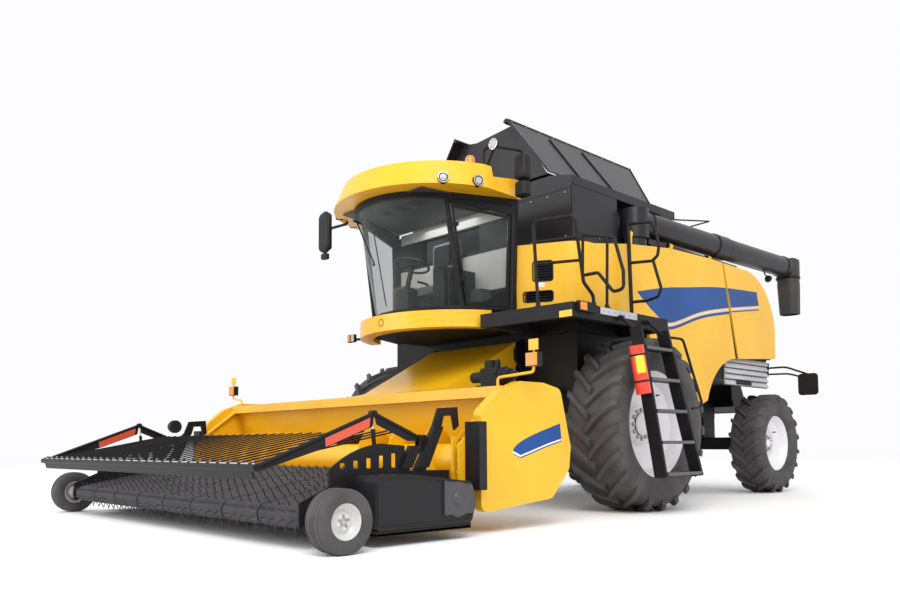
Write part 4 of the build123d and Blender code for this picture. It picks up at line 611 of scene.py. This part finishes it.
TUBE_R = 151
foot, head = np.array((1420.0, 850.0, 3360.0)), np.array((1510.0, 4740.0, 3380.0))
tube_way = unit(head - foot)


def on_tube(y):
    """Point on the auger tube's centre line at y."""
    return foot + tube_way * (y - foot[1]) / tube_way[1]


def clamp(y, wide):
    """Ring round the auger tube at y: a flat band with two rolled edges."""
    rows = np.array([(-wide, -6), (-wide, 6), (-wide + 5, 9), (-wide + 10, 4)])
    rows = np.vstack([rows, (rows * (-1, 1))[::-1]]) + (0, TUBE_R)
    return turned(on_tube(y), tube_way, rows, 48, ring=True)


rings = [clamp(2590, 14), clamp(2910, 14), clamp(4610, 18), clamp(1060, 16)]
stems = lined(nut(np.zeros(3), Z, 16, 20),
              [on_tube(y) + (0, 0, TUBE_R + 7) for y in (1060, 2590, 2910, 3700, 4610)])
bracket = tube(flat(X, 1400, [(1640, 3490), (1640, 3552), (2696, 3732), (2158, 3556), (2060, 3490)]), 10)
arm_line = curve([on_tube(y) - (0, 0, drop) for y, drop in ((4080, 140), (4110, 190), (4190, 215))])
lamp_arm = along(arm_line, circle(10, 8))
lamp_at, lamp_way = on_tube(4205) - (0, 0, 240), (0, 1, -0.35)
shell = turned(lamp_at, lamp_way, [(-28, 20), (-22, 40), (0, 52), (20, 54), (24, 50), (18, 44), (16, 1)], 28)
glow = turned(lamp_at, lamp_way, [(17, 43), (24, 36), (27, 20), (28, 1)], 28)
piece("auger_fittings", "unloading_auger", (graphite, rings), (zinc, [stems]),
      (powder_black, [bracket, lamp_arm, shell]), (lens, [glow]))
# The spout hangs from a domed crown: at t from top to mouth its rounded section narrows as t^1.3, is drawn in
# at a waist a third of the way down, and leans a little; the mouth is open, with a wall 7% of the half width.
SPOUT_AT, SPOUT_TOP, SPOUT_DROP, CROWN_SIZE = np.array((1510, 4868)), 3470, 808, (330, 264)
t = np.linspace(0, 1, 15)[:, None, None]
section = rounded(1, 1, 0.36, 9)[None] + 0 * t
centre = np.concatenate([SPOUT_AT + (10, 4) * t, SPOUT_TOP - SPOUT_DROP * t], 2)
waist = 14 * np.exp(-((t - 0.34) / 0.05) ** 2)
spread = np.concatenate([CROWN_SIZE[0] - 56 * t ** 1.3 - waist, CROWN_SIZE[1] - 22 * t], 2)
crown = np.array([(3528, 0.55), (3522, 0.78), (3506, 0.93), (3488, 0.99)])[:, None, :]
level = 0 * section[..., :1]
dome = np.concatenate([SPOUT_AT + section[:4] * CROWN_SIZE * crown[..., 1:], crown[..., :1] + level[:4]], 2)
wall = centre + np.concatenate([section * spread, level], 2)
inner = (wall[::-1] - centre[::-1]) * (0.93, 0.93, 1) + centre[::-1]
spout = lofted(np.concatenate([dome, wall, inner[:6]]))
collar = along(flat(Z, 3225, rounded(326, 260, 95) + (1510, 4870)),
               np.array([(-4, -16), (6, -16), (6, 16), (-4, 16)]), ring=True)
made = piece("rubber_spout", "unloading_auger", (spout_rubber, [spout]), (powder_black, [collar]), bevel=4)
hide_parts("auger_spout")


# ==== Cab frame, glass and interior ====
# Welded cab frame in black enamel behind tinted laminated glass. The liner, rear wall and console
# are moulded plastic, and the seat is grey woven cloth over foam.
coat(powder_black, "cab_base", "cab_frame", "cab_door_frame")
coat(moulded, "cab_console")
# Laminated glass: nearly clear when looked at squarely and half veiled by its tint at a glance.
glass, shader = blank("tinted_safety_glass")[:2]
edge = add(glass, "LayerWeight", {"Blend": 0.3})
veil = add(glass, "MapRange", {"Value": edge.outputs["Facing"], "To Min": 0.06, "To Max": 0.5})
feed(glass, shader, {"Alpha": veil.outputs["Result"], "Base Color": hue("5A6362"), "Roughness": 0.03})
coat(glass, "cab_glass", "cab_door_glass")
liner_grey = enamel("light_grey_liner_plastic", "A6A5A1", "B1B0AC", 0.55, 0.0, 0.3)
charcoal = enamel("charcoal_liner_plastic", "38373A", "403F42", 0.55, 0.0, 0.3)

reading = bpy.data.lights.new("cab_lamp", "AREA")
reading.size, reading.energy = 0.9, 10
roof_light = bpy.data.objects.new("cab_lamp", reading)
roof_light.location = (0, -1.35 + axle_y, 3.3)
scene.collection.objects.link(roof_light)

back_panel = [block((-900, 900), (-886, -878), z) for z in ((2420, 2860), (3200, 3330))]
head_lining = plate(Z, 3352, -10, [(-880, -900), (880, -900), (680, -1950), (-680, -1950)])
dark_box = [block((-560, -360), (-1300, -960), (2145, 2560)), block((560, 720), (-1120, -960), (2145, 2400))]
slots = [block((x - 70, x + 70), (y - 26, y), (3338, 3341))
         for x in (-260, 0, 260) for y in (-1560, -1620, -1680)]
stalk = tube([(520, -1400, 2150), (520, -1400, 2560), (450, -1425, 2700)], 14)
lead = along(curve([(505, -1412, 2430), (585, -1445, 2520), (600, -1430, 2660), (545, -1402, 2760)]),
             circle(6, 8))
bezel = along(flat(Y, -1441, rounded(228, 158, 14) + (445, 2750)), pressed(7, 5, 5), ring=True)
lever = tube([(330, -1300, 2630), (330, -1330, 2720), (325, -1345, 2760)], 11)
knob = turned((323, -1350, 2752), (0, -0.2, 1), [(0, 9), (8, 22), (26, 26), (44, 20), (52, 1)], 16)
piece("cab_interior", "chassis", (liner_grey, back_panel), (charcoal, [head_lining] + dark_box),
      (moulded, slots + [stalk, lead, bezel, lever, knob]), bevel=2)

# Woven cloth: two crossed waves of 1.5 mm threads, dull, with a short nap that pales at its edges.
seat_cloth, shader, place = blank("woven_seat_cloth")
warp = add(seat_cloth, "TexWave", {"Scale": 210, "Vector": place}, bands_direction="X")
weft = add(seat_cloth, "TexWave", {"Scale": 210, "Vector": place}, bands_direction="Z")
weave = add(seat_cloth, "Math", {0: warp.outputs["Fac"], 1: weft.outputs["Fac"]}, operation="MULTIPLY")
tone = stops(add(seat_cloth, "ValToRGB", {"Fac": weave.outputs["Value"]}), (0.1, "48474B"), (0.9, "626166"))
bump = add(seat_cloth, "Bump", {"Strength": 0.3, "Distance": 0.0008, "Height": weave.outputs["Value"]})
feed(seat_cloth, shader, {"Base Color": tone, "Normal": bump.outputs["Normal"], "Roughness": 0.95,
                          "Sheen Weight": 0.3})
PAD_GRID, PAD_PULL, PAD_ROOM = 9, 0.07, 9     # points along an edge, pull of the edges, mm left to fill
VOXEL, PRESSURE, FILL_FRAMES, MOST_FILL = 0.006, 4, 20, 0.008


def pad(name, low, high):
    """Cushion between two corners: a cube surface whose points p in -1..1 go to p (1 - pull (q r)^2), so the
    edges draw in between the corners; then cloth pressure fills it, at most MOST_FILL metres outwards."""
    low, high = np.array(low, float), np.array(high, float)
    u, v = np.meshgrid(*[np.linspace(-1, 1, PAD_GRID)] * 2, indexing="ij")
    sides = []
    for axis in range(3):
        for sign in (-1, 1):
            p = np.empty((*u.shape, 3))
            p[..., axis], p[..., (axis + 1) % 3], p[..., (axis + 2) % 3] = sign, u, v
            p = p * (1 - PAD_PULL * (np.roll(p, 1, -1) * np.roll(p, 2, -1)) ** 2)
            points = (high + low) / 2 + p * ((high - low) / 2 - PAD_ROOM)
            sides.append((points.reshape(-1, 3), [quads(*u.shape)]))
    made = piece(name, "chassis", (seat_cloth, sides), crease=180)
    mesh = made.modifiers.new("remesh", "REMESH")
    mesh.mode, mesh.voxel_size = "VOXEL", VOXEL
    bpy.context.view_layer.objects.active = made
    bpy.ops.object.modifier_apply(modifier="remesh")
    before = np.empty(len(made.data.vertices) * 3)
    made.data.vertices.foreach_get("co", before)
    sim = made.modifiers.new("cloth", "CLOTH")
    sim.settings.use_pressure, sim.settings.uniform_pressure_force = True, PRESSURE
    sim.settings.effector_weights.gravity = 0
    sim.point_cache.frame_start, sim.point_cache.frame_end = 1, FILL_FRAMES
    for step in range(1, FILL_FRAMES + 1):
        scene.frame_set(step)
    bpy.ops.object.modifier_apply(modifier="cloth")
    after = np.empty_like(before)
    made.data.vertices.foreach_get("co", after)
    move = (after - before).reshape(-1, 3)
    size = np.linalg.norm(move, axis=1, keepdims=True)
    move *= np.minimum(1, MOST_FILL / np.maximum(size, 1e-9))
    made.data.vertices.foreach_set("co", before + move.ravel())
    scene.frame_set(1)
    made.data.shade_smooth()
    soft = made.modifiers.new("soft", "SUBSURF")
    soft.levels = soft.render_levels = 1
    return made


cushion = pad("seat_cushion", (-240, -1370, 2375), (240, -930, 2495))
backrest = pad("seat_backrest", (-230, -985, 2470), (230, -888, 3080))
post = along([(0, -1115, z) for z in (2142, 2200, 2210, 2370)], rounded(310, 230, 40))
armrests = [tube([(x, -960, 2470), (x, -1010, 2600), (x, -1180, 2610)], 14) for x in (-250, 250)]
stand = piece("seat_stand", "chassis", (moulded, [post, *armrests]), bevel=2)
for made in (cushion, backrest, stand):
    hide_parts("operator_seat")


# ==== Roof, lamps, mirrors and bumper ====
# Moulded roof and visor in yellow enamel. Work lamps have chrome rings and clear lenses, the beacon
# is amber, and the mirrors are black moulded heads on tube arms.
coat(yellow, "cab_roof", "front_bumper")
# Hard chrome: ground and polished, so its gloss changes a little in clouds of 3 mm.
chrome, shader, place = blank("hard_chrome")
grind = add(chrome, "TexNoise", {"Scale": 300, "Vector": place})
rough = add(chrome, "MapRange", {"Value": grind.outputs["Fac"], "To Min": 0.08, "To Max": 0.2})
feed(chrome, shader, {"Base Color": hue("D9DADC"), "Metallic": 1.0, "Roughness": rough.outputs["Result"]})
# Amber lens: glossy acrylic with flutes of 6 mm, a little deeper in colour where it is thicker.
amber, shader, place = blank("amber_lamp_lens")
flute = add(amber, "TexWave", {"Scale": 50, "Distortion": 0.2, "Vector": place})
depth = add(amber, "TexNoise", {"Scale": 30, "Detail": 1, "Vector": place})
lift = add(amber, "MapRange", {"Value": depth.outputs["Fac"], "To Min": 0.85, "To Max": 1.15})
tone = add(amber, "HueSaturation", {"Color": hue("E0821E"), "Saturation": 1.05,
                                    "Value": lift.outputs["Result"]})
bump = add(amber, "Bump", {"Strength": 0.4, "Distance": 0.001, "Height": flute.outputs["Fac"]})
feed(amber, shader, {"Base Color": tone.outputs["Color"], "Normal": bump.outputs["Normal"], "Roughness": 0.1,
                     "Coat Weight": 0.5})
VISOR_HALF, VISOR_BOW, VISOR_FRONT, VISOR_LAMP_Z = 1110, 900, -2300, 3415
visor_radius = (VISOR_HALF ** 2 + VISOR_BOW ** 2) / (2 * VISOR_BOW)
rings, lenses, shells = [], [], []
for angle in np.radians((18, 37)):
    way = np.array((np.cos(angle), -np.sin(angle), 0.0))
    face = np.array((0, VISOR_FRONT + visor_radius, VISOR_LAMP_Z)) + way * (visor_radius + 19)
    shells.append(turned(face, way, [(-78, 40), (-60, 58), (0, 58)]))
    rings.append(turned(face, way, [(-30, 52), (0, 57), (4, 57), (5, 50), (-4, 45), (-20, 45)]))
    lenses.append(turned(face, way, [(-6, 45), (-2, 44), (2, 30), (3.5, 12), (3.6, 1)]))
CUP_AT, BEACON_AT = np.array((1160, -1375, 3820)), np.array((840, -1390, 3660))
cup = [turned(CUP_AT, -Y, [(-8, 46), (-2, 58), (1, 59), (2, 52), (-3, 46)])]
cup += [turned(CUP_AT, -Y, [(-3, r), (-0.5, r + 2.5), (-3, r + 5), (-5.5, r + 2.5)], 24, ring=True)
        for r in (18, 36)]
cup_lens = turned(CUP_AT, -Y, [(-3, 50), (0, 44), (2, 20), (2.5, 1)])
beacon = turned(BEACON_AT, Z, [(0, 54), (60, 55), (88, 50), (108, 36), (117, 16), (119, 1)])
beacon_foot = turned(BEACON_AT - 29 * Z, Z, [(0, 69), (12, 69), (28, 57), (34, 55)])
made = piece("roof_fittings", "chassis", (moulded, paired(shells)), (chrome, paired(rings) + cup),
             (lens, paired(lenses) + [cup_lens]), (amber, [beacon]), (yellow, [beacon_foot]), bevel=1)
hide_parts("roof_lamps")


def mirror_head(x, y, z, wide, deep, high, reach):
    """Upright mirror shell: at t from foot to top its rounded section has the square root of 3.2 sin(pi t) of
    its full size, between a quarter and all of it."""
    t = np.linspace(0, 1, 15)[:, None]
    grow = np.maximum(np.clip(np.sin(np.pi * t) * 3.2, 0.0, 1.0) ** 0.5, 0.25)
    section = rounded(wide, deep, reach)
    return lofted(np.stack([x + grow * section[:, 0], y + grow * section[:, 1],
                            z - high / 2 + high * t + 0 * section[:, 0]], -1))


LEFT_MIRROR, RIGHT_MIRROR = (1240, -1000), (-1290, -1770)
heads = [mirror_head(*LEFT_MIRROR, 3640, 168, 138, 295, 42),
         mirror_head(*LEFT_MIRROR, 3402, 156, 128, 180, 42),
         mirror_head(*RIGHT_MIRROR, 3300, 218, 78, 515, 36),
         mirror_head(*RIGHT_MIRROR, 3000, 120, 70, 78, 30),
         turned((*LEFT_MIRROR, 3480), Z, [(0, 24), (24, 24)], 16)]
silvering = [block((1180, 1300), (-931, -930), (3530, 3760)),
             block((-1375, -1205), (-1731, -1730), (3090, 3510))]
arms = [tube([(990, -1340, 3625), (990, -1340, 3820), (1100, -1340, 3822), (*LEFT_MIRROR, 3820),
              (*LEFT_MIRROR, 3740)], 16),
        tube([(1000, -1300, 3640), (1160, -1338, 3818)], 14),
        turned((1160, -1330, 3820), -Y, [(0, 26), (12, 52), (44, 58)], 28),
        tube([(-900, -1730, 3358), (-900, -1730, 3331), (*RIGHT_MIRROR, 3331), (*RIGHT_MIRROR, 3080)], 17),
        tube([(*RIGHT_MIRROR, 3550), (*RIGHT_MIRROR, 3331)], 14)]
made = piece("mirror_set", "chassis", (moulded, heads), (powder_black, arms), (chrome, silvering), bevel=1)
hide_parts("mirrors")

blade = np.array([(-30, -2008, 3010), (-22, -2008, 3010), (20, -1863, 2200), (12, -1863, 2200)])
wiper = [tube([(-420, -1938, 3205), (-25, -1998, 2650)], 9),
         tube([(-440, -1980, 3230), (-385, -1890, 3190)], 14),
         slab(blade, -10 * Y), turned((-20, -2012, 2645), -Y, [(0, 15), (10, 15)], 12)]
ROUNDEL_AT = (0, -1931, 2020)
roundel_rim = turned(ROUNDEL_AT, -Y, [(0.5, 34), (0.5, 42), (-12, 42), (-12, 34)], 28, ring=True)
roundel = turned(ROUNDEL_AT, -Y, [(-12, 34), (-2, 34), (-1, 1)], 28)
brackets = [block(x, (-1490, -1450), (1955, 2050)) for x in ((-1135, -1075), (-1203, -1157))]
brackets.append(tube([(-960, -1390, 1990), (-1100, -1440, 1990)], 16))


def side_lamp(x, spot):
    """Flat lens on the right bracket between two x, and a round one let into the bumper at the spot."""
    return [block(x, (-1496, -1490), (1962, 2044)),
            turned(spot, (0.62, -0.78, 0), [(-60, 36), (12, 36), (14, 26), (15, 1)], 24)]


side_clear = side_lamp((-1134, -1076), (640, -1655, 2022))
side_amber = side_lamp((-1205, -1157), (800, -1525, 2022))
piece("front_fittings", "chassis", (powder_black, wiper + brackets + [roundel_rim]), (rim_grey, [roundel]),
      (lens, side_clear), (amber, side_amber), bevel=1)


# ==== Platform, rails, ladder and extinguisher ====
# Bent steel tube rails and a ladder in black enamel. The deck has a light grey edge; the
# extinguisher is a red moulded case with a blank yellow panel.
coat(powder_black, "handrails", "ladder", "platform", "ladder_treads")
light_grey = enamel("light_grey_enamel", "A9A9AB", "B6B6B8", 0.42, 0.1)
tread_grey = enamel("worn_tread_enamel", "4A494B", "5A595B", 0.5, 0.0, 0.3)
red = enamel("red_gloss_enamel", "CF2A18", "DB3A24", 0.28, 0.4)
coat(red, "fire_extinguisher")
DECK_EDGE, DECK_TOP = 2137, 2041
deck_edge = block((DECK_EDGE - 6, DECK_EDGE), (-900, -270), (1968, 2036))
deck_mount = block((1960, 2128), (-1352, -1344), (1900, 1962))
deck_lens = block((2169, 2176), (-1270, -1170), (1966, 2040))
deck_bolts = lined(turned((0, 0, 0), X, [(0, 9), (2, 9), (2, 7), (6, 6)], 8),
                   flat(X, DECK_EDGE, np.column_stack([np.linspace(-850, -320, 7), np.full(7, 2002)])))
post_feet = [turned((x, y, DECK_TOP), Z, [(0, 38), (8, 38), (9, 24), (40, 22)], 20)
             for x, y in ((1700, -1325), (2085, -940), (2100, -745), (1700, 300))]
piece("platform_trim", "chassis", (light_grey, [deck_edge]), (yellow, [deck_mount]), (amber, [deck_lens]),
      (zinc, [deck_bolts]), (powder_black, post_feet), bevel=1)

LADDER_TOP, LADDER_FOOT = np.array((2330, 1850)), np.array((2480, 370))     # x and z
nosing = []
for t in 0.14 + 0.21 * np.arange(5):
    x, z = LADDER_TOP + (LADDER_FOOT - LADDER_TOP) * t
    nosing.append(block((x + 69, x + 73), (150 * t - 568, 350 * t - 132), (z - 13, z + 17)))
case_at, case_way = np.array((2391.5, -638.5, 1440.0)), unit(np.array((48.0, 48.0, -470.0)))
straps = [turned(case_at + case_way * s, case_way, [(-9, 73), (-9, 77), (9, 77), (9, 73)], ring=True)
          for s in (-120, 140)]
# The blank panel lies round the case: an arc from 8 to 82 degrees, 4 mm thick, closed at its two long ends.
a, s = np.meshgrid(np.linspace(radians(8), radians(82), 9), (-130, 60))
way_x = unit(np.cross(-Y, case_way))
spread = np.cos(a)[..., None] * way_x + np.sin(a)[..., None] * np.cross(case_way, way_x)
label = (np.vstack([(case_at + s[..., None] * case_way + r * spread).reshape(-1, 3) for r in (70, 74)]),
         [quads(2, 9), 18 + quads(2, 9), np.array([[0, 8, 26, 18], [9, 17, 35, 27]])])
yellow_film = enamel("yellow_vinyl_film", "E9C01C", "F1CB2A", 0.4, 0.2, 0.02)
piece("ladder_trim", "ladder", (tread_grey, nosing), (powder_black, straps), (yellow_film, [label]))


# ==== Feeder house and lift ====
# Welded sheet feeder house in yellow enamel on black pivots. Two black cylinders with hard
# chrome rods lift it together with the header; a gearbox and a motor drive the header.
coat(yellow, "feeder_house")
coat(powder_black, "feeder_mounts", "lift_barrels")
coat(chrome, "lift_rods", "guard_rods")
GEARBOX_AT = np.array((0, -2262, 1290))
motor = turned((-2100, -3250, 925), -X,
               [(0, 68), (12, 74), (60, 74), (66, 60), (110, 56), (116, 30), (117, 1)], 28)
output = [(0, 78), (30, 78), (36, 62), (90, 58), (94, 34), (150, 32), (151, 1)]
gearbox = [block((1880, 2090), (-2330, -2190), (1200, 1360)),
           block((1900, 2070), (-2410, -2200), (1185, 1204)),
           block((1900, 1990), (-2300, -2220), (1360, 1430)),
           turned(GEARBOX_AT + 2090 * X, X, output, 24),
           turned(GEARBOX_AT + 1880 * X, -X, [(0, 70), (26, 70), (34, 50), (150, 48), (152, 1)], 24),
           tube([(2010, -2230, 1355), (2010, -2230, 1420), (2060, -2300, 1430), (2060, -2340, 1300)], 14)]
piece("header_drives", "header", (cast_black, gearbox), (moulded, [motor]), bevel=3)


# ==== Header table and end panels ====
# Welded steel table in yellow enamel between moulded end panels. Each panel carries a blue film
# over a white and a thin blue line; amber marker lamps stand on bent tubes at the beam's ends.
coat(yellow, "header_frame", "end_panels", "cross_auger")
PANEL_FACE = 2334.8         # just inside the end panels' outer face
swoosh = np.vstack([curve([(-2428, 650), (-2390, 688), (-2290, 738), (-2110, 798), (-1812, 880)], 6),
                    curve([(-1795, 748), (-1990, 704), (-2190, 650), (-2330, 612)], 6)])
field = [plate(X, PANEL_FACE, 1.6, swoosh), plate(X, PANEL_FACE, 0.5, swoosh + (-1, -27))]
white_edge = plate(X, PANEL_FACE, 0.9, swoosh + (-7, -17))
lamp_shell = block((2421, 2549), (-2355, -2293), (1336, 1449))
lamp_face = block((2432, 2538), (-2364, -2354), (1346, 1439))
reflector = [block((2436, 2534), (-2332, -2324), (1470, 1560)),
             block((2478, 2492), (-2326, -2318), (1440, 1480))]
strip_face = block((2400, 2406), (-2888, -2804), (352, 878))
arm_bolts = lined(turned((2180, -2880, 0), X, [(0, 14), (3, 14), (3, 10), (10, 9)], 8),
                  [z * Z for z in (470, 560, 650, 740)])
for side, turn in SIDES:
    piece(f"end_trim_{side}", "header", (blue, turn(field)), (label_white, turn([white_edge])),
          (moulded, turn([lamp_shell, strip_face])), (amber, turn([lamp_face])), (yellow, turn(reflector)),
          (zinc, turn([arm_bolts])))


# ==== Pickup belts and drive ====
# Endless rubberised canvas belts with moulded cross ribs and spring tines, between black side
# plates. A moulded black cover closes the drive at the left end.
coat(powder_black, "pickup_frame", "windguard", "guard_barrels")
coat(moulded, "drive_cover")
# Rubberised canvas: dusty black in clouds of 0.25 m, with a weave of 3.5 mm, coarser than life
# so that it shows.
canvas, shader, place = blank("rubberised_canvas")
warp = add(canvas, "TexWave", {"Scale": 90, "Vector": place}, bands_direction="X")
weft = add(canvas, "TexWave", {"Scale": 90, "Vector": place}, bands_direction="Y")
weave = add(canvas, "Math", {0: warp.outputs["Fac"], 1: weft.outputs["Fac"]}, operation="MULTIPLY")
dirt = add(canvas, "TexNoise", {"Scale": 4, "Detail": 4, "Vector": place})
tone = stops(add(canvas, "ValToRGB", {"Fac": dirt.outputs["Fac"]}), (0.35, "232124"), (0.7, "38363A"))
bump = add(canvas, "Bump", {"Strength": 0.35, "Distance": 0.001, "Height": weave.outputs["Value"]})
feed(canvas, shader, {"Base Color": tone, "Normal": bump.outputs["Normal"], "Roughness": 0.7})
coat(canvas, "pickup_belts")
# Ribs across eight belts: y and z of each rib on the two straight runs and round the front roller.
BELTS, BELT_PITCH, RIB_PITCH, RIB_LEVEL, RIB_LONG = 8, 530, 65, 74, 508
front, back = np.array((-4250.0, 215.0)), np.array((-3080.0, 430.0))
run = unit(back - front)
rise = np.array((-run[1], run[0]))
steps = np.arange(35, np.linalg.norm(back - front), RIB_PITCH)[:, None]
around = np.radians((20, 65, 110, 155))[:, None]
ribs = np.vstack([front + steps * run + RIB_LEVEL * rise, front + steps * run - RIB_LEVEL * rise,
                  front + RIB_LEVEL * (np.cos(around) * rise - np.sin(around) * run)])
first_x = -2109 + BELT_PITCH * np.arange(BELTS)
spots = np.stack([np.repeat(first_x, len(ribs)), *np.tile(ribs.T, BELTS)], -1)
piece("belt_ribs", "header", (rubber, [lined(block((0, RIB_LONG), (-6, 6), (-4, 4)), spots)]))

boss = turned((2440, -3160, 300), X, [(-2, 132), (12, 130), (24, 112), (28, 66), (34, 60), (46, 52), (47, 1)])
lip = tube(flat(X, 2441, [(-3905, 150), (-3905, 470), (-3600, 478), (-3030, 412), (-2985, 290), (-3035, 140),
                          (-3865, 150)]), 7, reach=50, sides=8)
rear_shell = plate(X, 2440, 16, [(-3300, 190), (-3010, 190), (-2975, 290), (-3020, 405), (-3300, 440)])
skid_shoe = block((2240, 2420), (-3900, -3000), (80, 100))
plastic_grey = enamel("dark_grey_moulding", "3A393C", "444346", 0.5, 0.0, 0.3)
piece("drive_trim", "header", (moulded, [lip]), (plastic_grey, [boss, rear_shell]),
      (rim_grey, [skid_shoe]), bevel=4)


# ==== Crop guard ====
# Welded tube guard in black enamel, with a pale lip on its front bar, bolted clamps for the
# rods, and red reflector plates under both arms.
red_film = enamel("red_reflective_film", "C9482E", "D65338", 0.35, 0.3, 0.02)
CLAMPS, CLAMP_REACH = 29, 2060
clamp_spots = np.linspace(-CLAMP_REACH, CLAMP_REACH, CLAMPS)[:, None] * X


def strip(half, front, back, way):
    """Strip across the machine from -half to half, between two edges given as (y, z), carried along way."""
    return slab([(-half, *front), (half, *front), (half, *back), (-half, *back)], way)


lip_line = strip(2110, (-4670, 566), (-4655, 584), (0, 6, 6))
clamps = lined(strip(16, (-4660, 582), (-4615, 596), (0, 0, 8)), clamp_spots)
knobs = lined(turned((0, -4632, 592), Z, [(0, 9), (12, 9), (14, 5)], 6), clamp_spots)
red_plates = [plate(X, x, 2, [(-4110, 752), (-3716, 906), (-3726, 830), (-4104, 690)]) for x in (2112, 2098)]
apex = turned((2090, -3680, 930), X, [(-20, 26), (30, 26), (32, 18), (40, 17), (41, 1)], 18)
piece("guard_trim", "windguard", (light_grey, [lip_line]), (powder_black, [clamps] + paired([apex])),
      (zinc, [knobs]), (red_film, paired(red_plates)))


# ==== Rear end ====
# Light grey pressed louvres under the rear shields, over a black opening. A dark square plate
# with round corners stands on bent black tube arms at each side.
vanes = [plate(Y, 2750, 1270, [(1506, z), (1540, z + 6), (1538, z + 20), (1512, z + 68), (1506, z + 68)])
         for z in np.arange(1492, 1860, 78)]
backing = [block((1500, 1506), (2732, 4038), (1485, 1890)), block((1540, 1543), (3030, 3480), (1502, 1560))]
board = plate(Y, 4090, 18, rounded(276, 306, 50) + (2070, 1524))
board_arms = [tube([(1504, 4090, 1790), (1760, 4096, 1790), (2062, 4096, 1670)], 14),
              tube([(1504, 4090, 1700), (1800, 4096, 1690), (1960, 4096, 1640)], 13),
              tube([(1504, 4060, 1660), (1504, 4090, 1860)], 18),
              block((1500, 1508), (4028, 4092), (1660, 1860))]
made = piece("rear_louvre_set", "chassis", (light_grey, paired(vanes)),
             (powder_black, paired(backing + board_arms)), (moulded, paired([board])), bevel=1)
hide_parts("rear_louvres")
